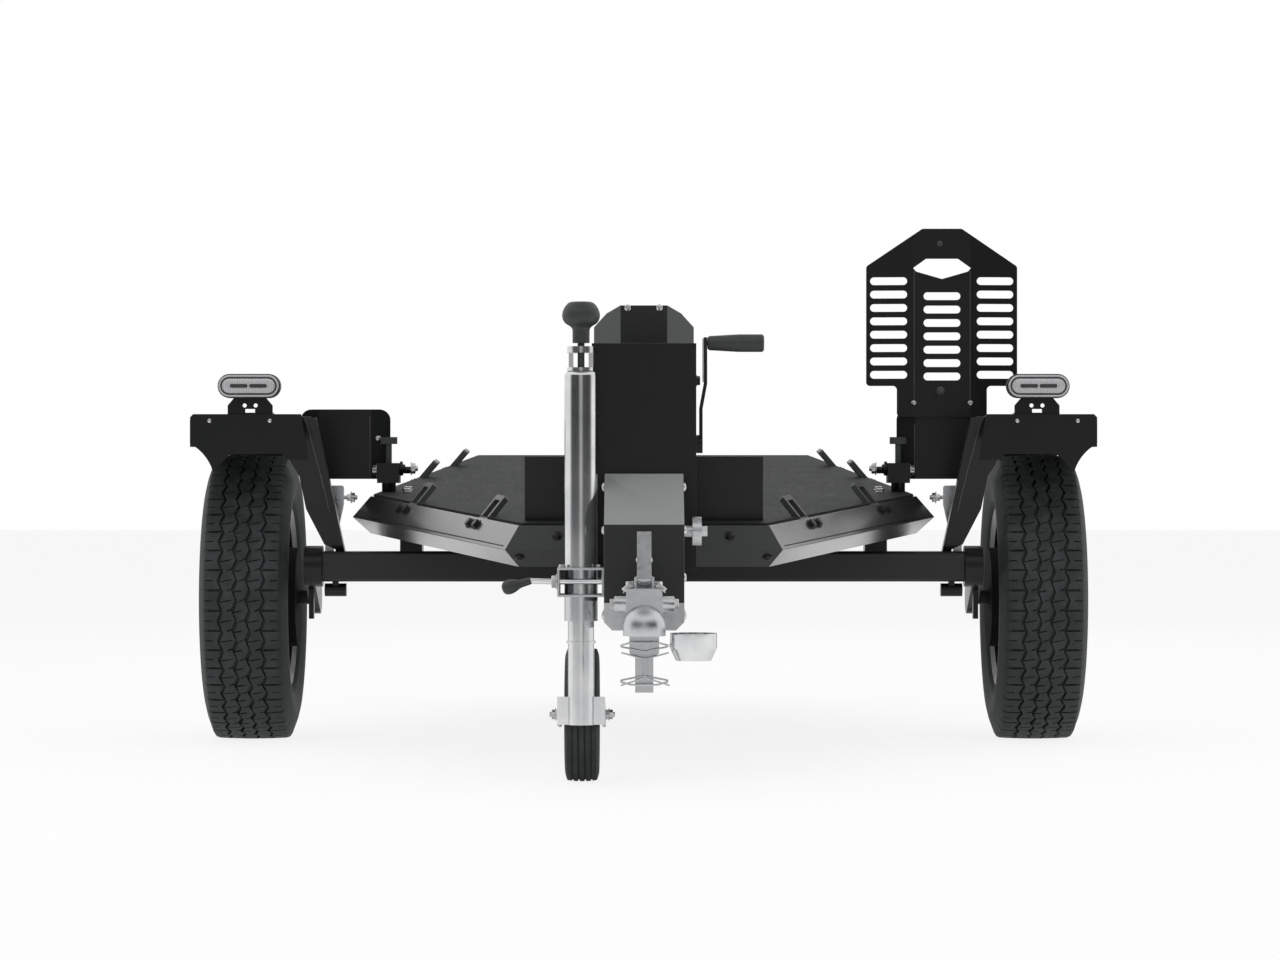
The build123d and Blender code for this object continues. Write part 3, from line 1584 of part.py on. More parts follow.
# T-handle: a stem in the block and a rounded bar across it
with BuildPart() as t_handle:
    stem_bottom = block_bottom + block_height - t_stem_depth + turn_gap
    with BuildSketch(Plane.XY.offset(stem_bottom)):
        with Locations((block_x, ahead(block_ahead))):
            Circle(t_stem_radius)
    extrude(amount=t_stem_depth + t_stem_height - turn_gap)
    with BuildSketch(Plane.XY.offset(block_bottom + block_height + t_stem_height)):
        with Locations((block_x, ahead(block_ahead))):
            SlotOverall(t_bar_length, t_bar_size)
    extrude(amount=t_bar_size)
keep_pair(t_handle.part, "t_handle")

# Lever plates on the beam, each with a bolt that points inwards
with BuildPart() as lever_plates:
    with BuildSketch(front_plane(lever_ahead)):
        with BuildLine():
            Polyline(
                (lever_x - lever_width / 2 + lever_foot_shift, beam_top),
                (lever_x - lever_width / 2, lever_knee),
                (lever_x - lever_width / 2, lever_top),
                (lever_x + lever_width / 2, lever_top),
                (lever_x + lever_width / 2, beam_top),
                close=True,
            )
        lever_face = make_face()
        fillet(lever_face.vertices().group_by(Axis.Y)[-1], lever_sheet / 2)
    extrude(amount=lever_sheet)
    with BuildSketch(side_plane(lever_x - lever_width / 2 - lever_bolt_length)):
        with Locations((ahead(lever_ahead + lever_sheet / 2), lever_bolt_height)):
            Circle(lever_bolt_radius / 2)
    extrude(amount=lever_bolt_length + lever_sheet)
    with BuildSketch(side_plane(lever_x - lever_width / 2 - lever_bolt_length / 2)):
        with Locations((ahead(lever_ahead + lever_sheet / 2), lever_bolt_height)):
            RegularPolygon(lever_bolt_radius, 6)
    extrude(amount=lever_bolt_length / 4)
    mirror(about=Plane.YZ)
lever_plates.part.label = "lever_plates"
export_step(lever_plates.part, "parts/lever_plates.step")

# Bushes hung under the beam's ends
with BuildPart() as axle_bushes:
    with BuildSketch(side_plane(bush_x - bush_length / 2)):
        with Locations((ahead(beam_ahead), bush_height)):
            Circle(bush_radius)
    extrude(amount=bush_length)
    with Locations((bush_x, ahead(beam_ahead), (beam_bottom + bush_height) / 2)):
        Box(bush_hanger, bush_hanger_depth, beam_bottom - bush_height)
    mirror(about=Plane.YZ)
axle_bushes.part.label = "axle_bushes"
export_step(axle_bushes.part, "parts/axle_bushes.step")

# Jockey clamp: a box of strap on the hood's left wall, bored for the tube and for the clamp rod
clamp_right_x = -head_half_width
clamp_width = clamp_right_x - clamp_left_x
clamp_rod_ahead = jockey_ahead + jockey_tube_radius + clamp_rod_radius + clamp_rod_gap
with BuildPart() as jockey_clamp:
    with Locations((clamp_left_x + clamp_width / 2, ahead(jockey_ahead), clamp_bottom + clamp_height / 2)):
        Box(clamp_width, clamp_depth, clamp_height)
        Box(clamp_width - 2 * clamp_sheet, clamp_depth, clamp_height - 2 * clamp_sheet, mode=Mode.SUBTRACT)
    with BuildSketch(Plane.XY.offset(clamp_bottom)):
        with Locations((jockey_x, ahead(jockey_ahead))):
            Circle(jockey_tube_radius + seat_gap)
    extrude(amount=clamp_height, mode=Mode.SUBTRACT)
    with BuildSketch(side_plane(clamp_left_x)):
        with Locations((ahead(clamp_rod_ahead), clamp_rod_height)):
            Circle(clamp_rod_radius + turn_gap)
    extrude(amount=clamp_width, mode=Mode.SUBTRACT)
jockey_clamp.part.label = "jockey_clamp"
export_step(jockey_clamp.part, "parts/jockey_clamp.step")

# Clamp lever: the rod, a collar outside the box, and a drooping arm with a grip
rod_end = Vector(clamp_left_x - 2 * clamp_sheet, ahead(clamp_rod_ahead), clamp_rod_height)
arm_run = Vector(-lever_arm_length, -lever_arm_forward / 2, -lever_arm_drop / 2)
arm_overlap = arm_run.normalized() * lever_arm_radius
with BuildPart() as clamp_lever:
    with BuildSketch(side_plane(rod_end.X)):
        with Locations((rod_end.Y, rod_end.Z)):
            Circle(clamp_rod_radius)
    extrude(amount=clamp_right_x - side_play - rod_end.X)
    with BuildSketch(side_plane(rod_end.X)):
        with Locations((rod_end.Y, rod_end.Z)):
            Circle(2 * clamp_rod_radius)
    extrude(amount=clamp_left_x - side_play - rod_end.X)
    with BuildSketch(Plane(origin=rod_end - arm_overlap, z_dir=arm_run)):
        Circle(lever_arm_radius)
    extrude(amount=arm_run.length + lever_grip_radius)
    with BuildSketch(Plane(origin=rod_end + arm_run, z_dir=arm_run)):
        Circle(lever_grip_radius)
    extrude(amount=lever_grip_length)
    fillet(clamp_lever.edges().group_by(Axis.X)[0], lever_grip_radius / 2)
clamp_lever.part.label = "clamp_lever"
export_step(clamp_lever.part, "parts/clamp_lever.step")

# Jockey outer tube: guide ring below, rounded shoulder above, and a two-armed cage with a collar
tube_centre = Axis((jockey_x, ahead(jockey_ahead), 0), (0, 0, 1))
tube_plane = Plane(origin=(jockey_x, ahead(jockey_ahead), 0), x_dir=(1, 0, 0), z_dir=(0, -1, 0))
collar_bottom = jockey_tube_top + cage_height
collar_top = collar_bottom + collar_height
with BuildPart() as jockey_tube:
    with BuildSketch(tube_plane):
        with BuildLine():
            Polyline(
                (knob_shaft_radius + turn_gap, jockey_tube_top),
                (jockey_tube_radius - jockey_tube_round, jockey_tube_top),
            )
            RadiusArc(
                (jockey_tube_radius - jockey_tube_round, jockey_tube_top),
                (jockey_tube_radius, jockey_tube_top - jockey_tube_round),
                jockey_tube_round,
            )
            Polyline(
                (jockey_tube_radius, jockey_tube_top - jockey_tube_round),
                (jockey_tube_radius, jockey_tube_bottom),
                (leg_radius + turn_gap, jockey_tube_bottom),
                (leg_radius + turn_gap, jockey_tube_bottom + jockey_guide_length),
                (jockey_tube_radius - jockey_tube_wall, jockey_tube_bottom + jockey_guide_length),
                (jockey_tube_radius - jockey_tube_wall, jockey_tube_top - jockey_tube_round),
                (knob_shaft_radius + turn_gap, jockey_tube_top - jockey_tube_round),
                (knob_shaft_radius + turn_gap, jockey_tube_top),
            )
        make_face()
        with Locations((knob_shaft_radius + turn_gap, jockey_tube_top)):
            Rectangle(
                cage_ring_radius - knob_shaft_radius,
                cage_ring_height,
                align=(Align.MIN, Align.MIN),
            )
        with Locations((knob_shaft_radius + turn_gap, collar_bottom)):
            Rectangle(
                cage_ring_radius - knob_shaft_radius,
                collar_height,
                align=(Align.MIN, Align.MIN),
            )
    revolve(axis=tube_centre)
    for arm_x in (jockey_x - cage_arm_offset, jockey_x + cage_arm_offset):
        with Locations((arm_x, ahead(jockey_ahead), jockey_tube_top + cage_height / 2)):
            Box(cage_arm_width, cage_arm_depth, cage_height)
jockey_tube.part.label = "jockey_tube"
export_step(jockey_tube.part, "parts/jockey_tube.step")

# Jockey inner tube, which slides in the guide ring
with BuildPart() as jockey_inner_tube:
    with BuildSketch(Plane.XY.offset(leg_split)):
        with Locations((jockey_x, ahead(jockey_ahead))):
            Circle(leg_radius)
            Circle(leg_radius - leg_wall, mode=Mode.SUBTRACT)
    extrude(amount=leg_top - leg_split)
jockey_inner_tube.part.label = "jockey_inner_tube"
export_step(jockey_inner_tube.part, "parts/jockey_inner_tube.step")

# Jockey fork: a spigot in the inner tube, a channel, a web and two cheeks that trail to the bolt
axle_ahead = jockey_ahead - jockey_trail
cheek_outer = cheek_gap_half + cheek_sheet
with BuildPart() as jockey_fork:
    with BuildSketch(Plane.XY.offset(fork_bottom)):
        with Locations((jockey_x, ahead(jockey_ahead))):
            Circle(leg_radius)
            Circle(leg_radius - leg_wall, mode=Mode.SUBTRACT)
    extrude(amount=leg_split - seat_gap - fork_bottom)
    with BuildSketch(Plane.XY.offset(leg_split - seat_gap - fork_collar_height)):
        with Locations((jockey_x, ahead(jockey_ahead))):
            Circle(fork_collar_radius)
    extrude(amount=fork_collar_height)
    with BuildSketch(Plane.XY.offset(leg_split - spigot_length / 3)):
        with Locations((jockey_x, ahead(jockey_ahead))):
            Circle(leg_radius - leg_wall - turn_gap)
    extrude(amount=spigot_length)
    with Locations((jockey_x, ahead(jockey_ahead), fork_bottom + cheek_height / 2)):
        Box(2 * cheek_outer, fork_web, cheek_height)
    for cheek_x in (jockey_x - cheek_outer, jockey_x + cheek_gap_half):
        with BuildSketch(side_plane(cheek_x)):
            with BuildLine():
                Polyline(
                    (ahead(jockey_ahead) - fork_web / 2, fork_bottom),
                    (ahead(jockey_ahead) - fork_web / 2, fork_bottom + cheek_height),
                    (ahead(axle_ahead), jockey_wheel_radius + cheek_end_radius),
                    (ahead(axle_ahead), jockey_wheel_radius - cheek_end_radius),
                    close=True,
                )
            make_face()
            with Locations((ahead(axle_ahead), jockey_wheel_radius)):
                Circle(cheek_end_radius)
        extrude(amount=cheek_sheet)
    with BuildSketch(side_plane(jockey_x - cheek_outer)):
        with Locations((ahead(axle_ahead), jockey_wheel_radius)):
            Circle(jockey_bolt_radius)
    extrude(amount=2 * cheek_outer)
    for head_x in (jockey_x - cheek_outer - jockey_bolt_head, jockey_x + cheek_outer):
        with BuildSketch(side_plane(head_x)):
            with Locations((ahead(axle_ahead), jockey_wheel_radius)):
                RegularPolygon(jockey_bolt_head_radius, 6)
        extrude(amount=jockey_bolt_head)
jockey_fork.part.label = "jockey_fork"
export_step(jockey_fork.part, "parts/jockey_fork.step")

# Jockey wheel: a disc rim on the bolt and a ribbed solid tyre
jockey_axis = Axis((jockey_x, ahead(axle_ahead), jockey_wheel_radius), (1, 0, 0))
wheel_plane = Plane(
    origin=(jockey_x, ahead(axle_ahead), jockey_wheel_radius),
    x_dir=(1, 0, 0),
    z_dir=(0, -1, 0),
)
jockey_half = jockey_wheel_width / 2
with BuildPart() as jockey_rim:
    with BuildSketch(wheel_plane):
        with Locations((0, (jockey_hub_radius + jockey_bolt_radius + turn_gap) / 2)):
            Rectangle(
                2 * (cheek_gap_half - side_play),
                jockey_hub_radius - jockey_bolt_radius - turn_gap,
            )
        with Locations((0, (jockey_hub_radius + jockey_rim_radius - jockey_rim_wall) / 2)):
            Rectangle(jockey_disc, jockey_rim_radius - jockey_hub_radius)
        with Locations((0, jockey_rim_radius - jockey_rim_wall / 2)):
            Rectangle(jockey_barrel_width, jockey_rim_wall)
    revolve(axis=jockey_axis)
jockey_rim.part.label = "jockey_rim"
export_step(jockey_rim.part, "parts/jockey_rim.step")

jockey_crown_radius = jockey_wheel_radius - jockey_crown
with BuildPart() as jockey_tyre:
    with BuildSketch(wheel_plane):
        with BuildLine():
            Line(
                (-jockey_barrel_width / 2, jockey_rim_radius),
                (jockey_barrel_width / 2, jockey_rim_radius),
            )
            ThreePointArc(
                (jockey_barrel_width / 2, jockey_rim_radius),
                (jockey_half, (jockey_rim_radius + jockey_wheel_radius) / 2),
                (jockey_tread_width / 2, jockey_crown_radius),
            )
            ThreePointArc(
                (jockey_tread_width / 2, jockey_crown_radius),
                (0, jockey_wheel_radius),
                (-jockey_tread_width / 2, jockey_crown_radius),
            )
            ThreePointArc(
                (-jockey_tread_width / 2, jockey_crown_radius),
                (-jockey_half, (jockey_rim_radius + jockey_wheel_radius) / 2),
                (-jockey_barrel_width / 2, jockey_rim_radius),
            )
        make_face()
        with Locations((0, jockey_wheel_radius)):
            with GridLocations(jockey_groove_pitch, 0, 4, 1):
                Rectangle(jockey_groove, 2 * jockey_groove, mode=Mode.SUBTRACT)
    revolve(axis=jockey_axis)
jockey_tyre.part.label = "jockey_tyre"
export_step(jockey_tyre.part, "parts/jockey_tyre.step")

# Jockey knob: a mushroom head on a neck, with a shaft down through the collar
knob_bottom = collar_top + knob_gap
with BuildPart() as jockey_knob:
    with BuildSketch(tube_plane):
        with BuildLine():
            Polyline(
                (0, knob_bottom + knob_height),
                (0, knob_bottom),
                (knob_neck_radius, knob_bottom),
                (knob_neck_radius, knob_bottom + knob_neck_height),
            )
            Spline(
                (knob_neck_radius, knob_bottom + knob_neck_height),
                *[(radius, knob_bottom + rise) for radius, rise in knob_profile],
                (0, knob_bottom + knob_height),
                tangents=((0, 1), (-1, 0)),
            )
        make_face()
    revolve(axis=tube_centre)
    with BuildSketch(Plane.XY.offset(jockey_tube_top - 2 * jockey_tube_round)):
        with Locations((jockey_x, ahead(jockey_ahead))):
            Circle(knob_shaft_radius)
    extrude(amount=knob_bottom - jockey_tube_top + 2 * jockey_tube_round)
jockey_knob.part.label = "jockey_knob"
export_step(jockey_knob.part, "parts/jockey_knob.step")
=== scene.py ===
import math

import bmesh
import bpy
from mathutils import Matrix, Vector
from mathutils.bvhtree import BVHTree


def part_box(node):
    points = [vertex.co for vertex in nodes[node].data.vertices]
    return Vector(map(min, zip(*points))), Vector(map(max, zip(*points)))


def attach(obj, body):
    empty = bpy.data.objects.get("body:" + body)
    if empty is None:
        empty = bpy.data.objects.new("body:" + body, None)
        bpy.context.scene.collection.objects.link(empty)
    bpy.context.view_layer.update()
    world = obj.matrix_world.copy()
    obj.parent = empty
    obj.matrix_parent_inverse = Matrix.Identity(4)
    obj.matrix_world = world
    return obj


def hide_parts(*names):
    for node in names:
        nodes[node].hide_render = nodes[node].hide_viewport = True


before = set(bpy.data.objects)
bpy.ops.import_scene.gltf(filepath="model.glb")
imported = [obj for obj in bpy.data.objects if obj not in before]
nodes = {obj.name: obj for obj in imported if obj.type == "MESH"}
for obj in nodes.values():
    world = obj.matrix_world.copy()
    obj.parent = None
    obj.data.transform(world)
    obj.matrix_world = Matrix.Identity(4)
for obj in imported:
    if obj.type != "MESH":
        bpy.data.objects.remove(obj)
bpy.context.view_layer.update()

# The studio: a pale floor under the trailer, white all round and a dark side behind the camera,
# as in a product photograph. The camera stands 8.3 m ahead of the wheels, at hitch height.
camera_place = Vector((-0.007, -8.090, 0.5407))
camera_data = bpy.data.cameras.new("camera")
camera_data.lens = 114.9
camera_data.sensor_width = 36
camera = bpy.data.objects.new("camera", camera_data)
camera.location = camera_place
camera.rotation_euler = (math.radians(89.89), 0, 0)
bpy.context.scene.collection.objects.link(camera)
bpy.context.scene.camera = camera
bpy.context.scene.view_settings.view_transform = "Standard"


def put(tree, kind, settings=(), values=()):
    """Add a node to a tree: its settings first, then the numbers or links of its inputs."""
    node = tree.nodes.new(kind)
    for name, value in dict(settings).items():
        setattr(node, name, value)
    for key, value in dict(values).items():
        socket = node.inputs[key]
        if isinstance(value, Shade):
            value = value.socket
        if isinstance(value, bpy.types.NodeSocket):
            tree.links.new(value, socket)
        else:
            socket.default_value = value
    return node


class Shade:
    """A number that changes over a surface: the signs of arithmetic add Math nodes."""

    def __init__(self, socket):
        self.socket = socket
        self.tree = socket.id_data

    def maths(self, operation, first, second=0.0, clamp=False):
        settings = {"operation": operation, "use_clamp": clamp}
        return Shade(put(self.tree, "ShaderNodeMath", settings, {0: first, 1: second}).outputs[0])

    def __add__(self, other):
        return self.maths("ADD", self, other)

    def __sub__(self, other):
        return self.maths("SUBTRACT", self, other)

    def __rsub__(self, other):
        return self.maths("SUBTRACT", other, self)

    def __mul__(self, other):
        return self.maths("MULTIPLY", self, other)

    def __truediv__(self, other):
        return self.maths("DIVIDE", self, other)

    def __lt__(self, other):
        return self.maths("LESS_THAN", self, other)

    def __abs__(self):
        return self.maths("ABSOLUTE", self)

    def clamped(self):
        return self.maths("ADD", self, 0.0, clamp=True)

    def step(self, low, high):
        """0 below low, 1 above high, smooth between."""
        settings = {"interpolation_type": "SMOOTHSTEP"}
        values = {"Value": self, "From Min": low, "From Max": high}
        return Shade(put(self.tree, "ShaderNodeMapRange", settings, values).outputs["Result"])

    def most(self, other):
        return self.maths("MAXIMUM", self, other)


def mixed(factor, first, second):
    """Two colours mixed by a factor."""
    tree = factor.tree
    values = {"Factor": factor, 6: (*first, 1), 7: (*second, 1)}
    return put(tree, "ShaderNodeMix", {"data_type": "RGBA"}, values).outputs[2]


world = bpy.data.worlds.new("studio")
world.use_nodes = True
sky = world.node_tree
sky.nodes.clear()
ray = put(sky, "ShaderNodeLightPath")
facing = put(sky, "ShaderNodeSeparateXYZ", {}, {0: put(sky, "ShaderNodeTexCoord").outputs["Generated"]})
east, north, up = (Shade(facing.outputs[axis]) for axis in "XYZ")
strip_edges = (0.06, 0.3)
strip_gain = 0.4
shade_level = 0.62
behind_camera = (north * -1).step(0.05, 0.45)
key_strip = 1 - abs(east).step(*strip_edges)
overhead = up.step(0.25, 0.7)
zenith = up.step(0.78, 0.97)
dark_side = behind_camera * (1 - overhead) * (0.95 - key_strip * strip_gain)
mirrored = (1 - dark_side) * (1 - zenith * shade_level)
seen = Shade(ray.outputs["Is Camera Ray"])
glossy = Shade(ray.outputs["Is Glossy Ray"]).most(Shade(ray.outputs["Is Transmission Ray"]))
level = seen + (1 - seen) * (glossy * mirrored + (1 - glossy) * shade_level)
light = put(sky, "ShaderNodeBackground", {}, {"Color": (1, 1, 1, 1), "Strength": level})
put(sky, "ShaderNodeOutputWorld", {}, {"Surface": light.outputs[0]})
bpy.context.scene.world = world

floor_material = bpy.data.materials.new("studio_floor")
floor_material.use_nodes = True
tree = floor_material.node_tree
tree.nodes.clear()
ray = put(tree, "ShaderNodeLightPath")
spot = put(tree, "ShaderNodeSeparateXYZ", {}, {0: put(tree, "ShaderNodeTexCoord").outputs["Object"]})
aside, back = Shade(spot.outputs["X"]), Shade(spot.outputs["Y"])
strip = 1 - (abs(aside) / abs(back).most(0.1)).step(*strip_edges)
unlit = (back * -1).step(1.7, 3.2) * (0.92 - strip * strip_gain)
# Painted shadow: seen in reflections, the floor under the trailer is drawn up to three quarters darker,
# standing in for the shade beneath it.
under = (1 - abs(aside).step(0.35, 0.9)) * (1 - abs(back).step(1.0, 1.6)) * 0.75
seen_by_gloss = Shade(ray.outputs["Is Glossy Ray"]) * (1 - unlit.most(under))
shown = Shade(ray.outputs["Is Camera Ray"]).most(seen_by_gloss)
paint = put(tree, "ShaderNodeBsdfDiffuse", {}, {"Color": (0.82, 0.82, 0.82, 1)})
white = put(tree, "ShaderNodeEmission", {}, {"Color": (1, 1, 1, 1), "Strength": 1.0})
blend = put(tree, "ShaderNodeMixShader", {}, {0: shown * 0.86, 1: paint.outputs[0], 2: white.outputs[0]})
put(tree, "ShaderNodeOutputMaterial", {}, {0: blend.outputs[0]})
floor_mesh = bpy.data.meshes.new("studio_floor")
reach = 30
corners = [(-reach, -reach, 0), (reach, -reach, 0), (reach, reach, 0), (-reach, reach, 0)]
floor_mesh.from_pydata(corners, [], [(0, 1, 2, 3)])
floor_mesh.materials.append(floor_material)
floor = bpy.data.objects.new("studio_floor", floor_mesh)
bpy.context.scene.collection.objects.link(floor)

trailer_middle = Vector((0, 0, 0.45))
for name, place, size, power in (
    ("lamp_over", (0, -0.4, 4.5), 5.0, 90),
    ("lamp_front_left", (-3.6, -4.6, 3.2), 2.4, 60),
    ("lamp_front_right", (3.8, -4.2, 3.0), 2.4, 45),
    ("lamp_rear", (0.5, 5.0, 3.2), 3.0, 40),
):
    lamp_data = bpy.data.lights.new(name, "AREA")
    lamp_data.size = size
    lamp_data.energy = power
    lamp = bpy.data.objects.new(name, lamp_data)
    lamp.location = place
    lamp.rotation_euler = (trailer_middle - Vector(place)).to_track_quat("-Z", "Y").to_euler()
    lamp.visible_glossy = False
    bpy.context.scene.collection.objects.link(lamp)


# Powder coat: gloss black baked on sheet and tube, with its fine orange peel, a little road dust
# low down and softer gloss where the coat is cloudy.
class Finish:
    """One material of nodes. Its patterns lie in the trailer's own metres."""

    def __init__(self, name, **sockets):
        self.material = bpy.data.materials.new(name)
        self.material.use_nodes = True
        self.tree = self.material.node_tree
        self.tree.nodes.clear()
        self.shader = put(self.tree, "ShaderNodeBsdfPrincipled", {}, {
            key.replace("_", " ").title().replace("Ior", "IOR"): value for key, value in sockets.items()
        })
        put(self.tree, "ShaderNodeOutputMaterial", {}, {"Surface": self.shader.outputs[0]})
        self.place = put(self.tree, "ShaderNodeTexCoord").outputs["Object"]
        axes = put(self.tree, "ShaderNodeSeparateXYZ", {}, {0: self.place})
        self.x, self.y, self.z = (Shade(axes.outputs[axis]) for axis in "XYZ")

    def stretched(self, scale):
        """The place, drawn out along some axes."""
        values = {0: self.place, 1: scale}
        return put(self.tree, "ShaderNodeVectorMath", {"operation": "MULTIPLY"}, values).outputs[0]

    def noise(self, scale, detail=2.0, place=None):
        values = {"Vector": place or self.place, "Scale": scale, "Detail": detail}
        return Shade(put(self.tree, "ShaderNodeTexNoise", {}, values).outputs[0])

    def cells(self, scale, output="Distance"):
        values = {"Vector": self.place, "Scale": scale}
        return put(self.tree, "ShaderNodeTexVoronoi", {}, values).outputs[output]

    def colour(self, factor, first, second):
        self.tree.links.new(mixed(factor, first, second), self.shader.inputs["Base Color"])

    def rough(self, value):
        self.tree.links.new(value.clamped().socket, self.shader.inputs["Roughness"])

    def bump(self, height, metres):
        values = {"Height": height, "Distance": metres, "Strength": 1.0}
        node = put(self.tree, "ShaderNodeBump", {}, values)
        self.tree.links.new(node.outputs[0], self.shader.inputs["Normal"])


def powder_coat(name, dark, pale, gloss, lacquer, ior, peel=0.00005):
    """A baked coat between two colours, with its roughness, lacquer and depth of orange peel."""
    lacquered = {"coat_weight": lacquer, "coat_roughness": gloss / 2, "coat_ior": ior}
    coat = Finish(name, roughness=gloss, ior=ior, **lacquered)
    clouds = coat.noise(7, 4)
    dust = (0.42 - coat.z).step(0.0, 0.4) * coat.noise(38, 5).step(0.45, 0.75)
    coat.colour((clouds * 0.5 + dust * 0.6).clamped(), dark, pale)
    coat.rough(clouds * 0.14 + gloss - 0.07 + dust * 0.2)
    coat.bump(coat.noise(700, 2), peel)
    return coat.material


black_coat = powder_coat(
    "black_powder_coat", (0.0035, 0.0038, 0.0038), (0.010, 0.0105, 0.0105), 0.32, 0.15, 1.36
)
satin_coat = powder_coat(
    "satin_powder_coat", (0.009, 0.0095, 0.0095), (0.021, 0.022, 0.022), 0.42, 0.2, 1.45
)
gloss_coat = powder_coat(
    "gloss_powder_coat", (0.006, 0.0063, 0.0065), (0.014, 0.0145, 0.015), 0.34, 1.0, 1.7, 0.00001
)
rail_coat = powder_coat(
    "rail_powder_coat", (0.034, 0.0355, 0.0355), (0.05, 0.052, 0.052), 0.45, 0.15, 1.36
)
loop_coat = powder_coat(
    "loop_powder_coat", (0.035, 0.0365, 0.0365), (0.075, 0.078, 0.078), 0.4, 0.3, 1.45
)

# Hood and chock: black coat. Faces that look upward are painted pale grey, faces turned to the sides a
# third as pale, and upright faces square to the road stay black. The pale grey is a painted reflection of
# the bright sky.
sky_sheen_coat = Finish("black_coat_painted_sheen", roughness=0.45, coat_weight=0.15, coat_roughness=0.3, ior=1.4)
normal = put(sky_sheen_coat.tree, "ShaderNodeNewGeometry").outputs["Normal"]
facets = put(sky_sheen_coat.tree, "ShaderNodeSeparateXYZ", {}, {0: normal})
aside, rising = Shade(facets.outputs["X"]), Shade(facets.outputs["Z"])
# Painted reflection: which way a face points sets how pale it is drawn.
painted_sky_sheen = rising.step(0.4, 0.85).most(abs(aside).step(0.1, 0.45) * 0.32)
painted_sheen_amount = (painted_sky_sheen * (sky_sheen_coat.noise(11, 4) * 0.16 + 0.92)).clamped()
sky_sheen_coat.colour(painted_sheen_amount, (0.014, 0.0145, 0.0145), (0.225, 0.238, 0.235))
sky_sheen_coat.rough(sky_sheen_coat.noise(7, 4) * 0.1 + 0.4)
sky_sheen_coat.bump(sky_sheen_coat.noise(700, 2), 0.00002)
sky_sheen_coat = sky_sheen_coat.material

# Hitch castings and strap: hot-dip galvanised steel, with a faint spangle where the zinc froze
# and dull patches where it has weathered.
galvanised = Finish("galvanised_zinc", metallic=1.0, roughness=0.4)
spangle = Shade(galvanised.cells(110, output="Color"))
patches = galvanised.noise(24, 4)
galvanised.colour((spangle * 0.35 + patches * 0.6).clamped(), (0.44, 0.45, 0.46), (0.72, 0.73, 0.74))
galvanised.rough(spangle * 0.16 + patches * 0.22 + 0.14)
galvanised.bump(galvanised.noise(320, 3), 0.0001)
galvanised = galvanised.material

# Jockey wheel's tube and pressings: drawn steel under bright zinc plate, with fine lines along
# the draw.
bright = Finish("bright_zinc_plate", metallic=1.0, roughness=0.15)
draw_lines = bright.noise(3, 2, bright.stretched((420.0, 420.0, 2.0)))
bright.colour(bright.noise(18, 3).step(0.3, 0.8), (0.6, 0.61, 0.62), (0.8, 0.8, 0.8))
bright.rough(draw_lines * 0.12 + 0.1)
bright.bump(draw_lines, 0.00002)
bright = bright.material

# Small steel: bolts, nuts and rivets in plain zinc. They are duller than the tube, and patchy with
# a fine grain.
bolt_steel = Finish("zinc_bolt_steel", metallic=1.0, roughness=0.3)
bolt_steel.colour(bolt_steel.noise(90, 3).step(0.3, 0.7), (0.5, 0.5, 0.5), (0.74, 0.74, 0.73))
bolt_steel.rough(bolt_steel.noise(240, 3) * 0.25 + 0.2)
bolt_steel.bump(bolt_steel.noise(500, 2), 0.00004)
bolt_steel = bolt_steel.material

# Moulded rubber and plastic: matt tyre rubber with a grey bloom, and the grained black of grips,
# knobs and lamp bodies.
rubber = Finish("tyre_rubber", roughness=0.72)
bloom = rubber.noise(30, 5)
rubber.colour(bloom.step(0.3, 0.75), (0.014, 0.0165, 0.0165), (0.031, 0.036, 0.036))
rubber.rough(bloom * 0.25 + 0.58)
rubber.bump(rubber.noise(900, 3), 0.00008)
rubber = rubber.material
grip_black = Finish("moulded_black_plastic", roughness=0.5)
grip_black.colour(grip_black.noise(45, 4), (0.018, 0.021, 0.02), (0.036, 0.04, 0.039))
grip_black.rough(grip_black.noise(160, 3) * 0.2 + 0.4)
grip_black.bump(grip_black.noise(1400, 2), 0.0001)
grip_black = grip_black.material

# Deck board: coated plywood with a fine rolled mesh against slipping. Tyres have scuffed it along
# the trailer.
tread_sheet = Finish("deck_board_film", roughness=0.6, specular_ior_level=0.06)
scuffs = tread_sheet.noise(9, 6)
streaks = tread_sheet.noise(5, 4, tread_sheet.stretched((26.0, 1.6, 1.0)))
wear = (scuffs * 0.6 + streaks * 0.5).step(0.3, 0.8)
tread_sheet.colour(wear, (0.013, 0.014, 0.014), (0.026, 0.0275, 0.0275))
tread_sheet.rough(streaks * 0.2 + scuffs * 0.2 + 0.42)
tread_sheet.bump(tread_sheet.noise(420, 3), 0.00012)
tread_sheet = tread_sheet.material

# Lenses and reflectors: clear moulding ribbed on its back, and the red reflectors' small prisms
# on the fenders' outer sides.
lens_clear = Finish("lamp_lens", roughness=0.12, coat_weight=0.6, coat_roughness=0.05)
wave = {"Vector": lens_clear.place, "Scale": 90.0}
ribs = Shade(put(lens_clear.tree, "ShaderNodeTexWave", {"bands_direction": "X"}, wave).outputs[1])
lens_clear.colour(ribs * 0.6, (0.34, 0.34, 0.35), (0.56, 0.56, 0.57))
lens_clear.rough(ribs * 0.1 + 0.1)
lens_clear.bump(ribs, 0.0003)
lens_clear = lens_clear.material
reflector_red = Finish("red_reflector", roughness=0.15, coat_weight=0.7, coat_roughness=0.04)
prisms = Shade(reflector_red.cells(420))
reflector_red.colour(prisms.step(0.0, 0.7), (0.3, 0.035, 0.015), (0.12, 0.012, 0.008))
reflector_red.rough(prisms * 0.2 + 0.1)
reflector_red.bump(prisms, 0.0003)
reflector_red = reflector_red.material

# Brake drums and hubs: plain dull black, without lacquer. Then each CAD piece gets its finish, and
# folded and cast pieces get rounded edges.
drum_coat = powder_coat("drum_coat", (0.012, 0.0125, 0.013), (0.03, 0.031, 0.032), 0.8, 0.0, 1.12)

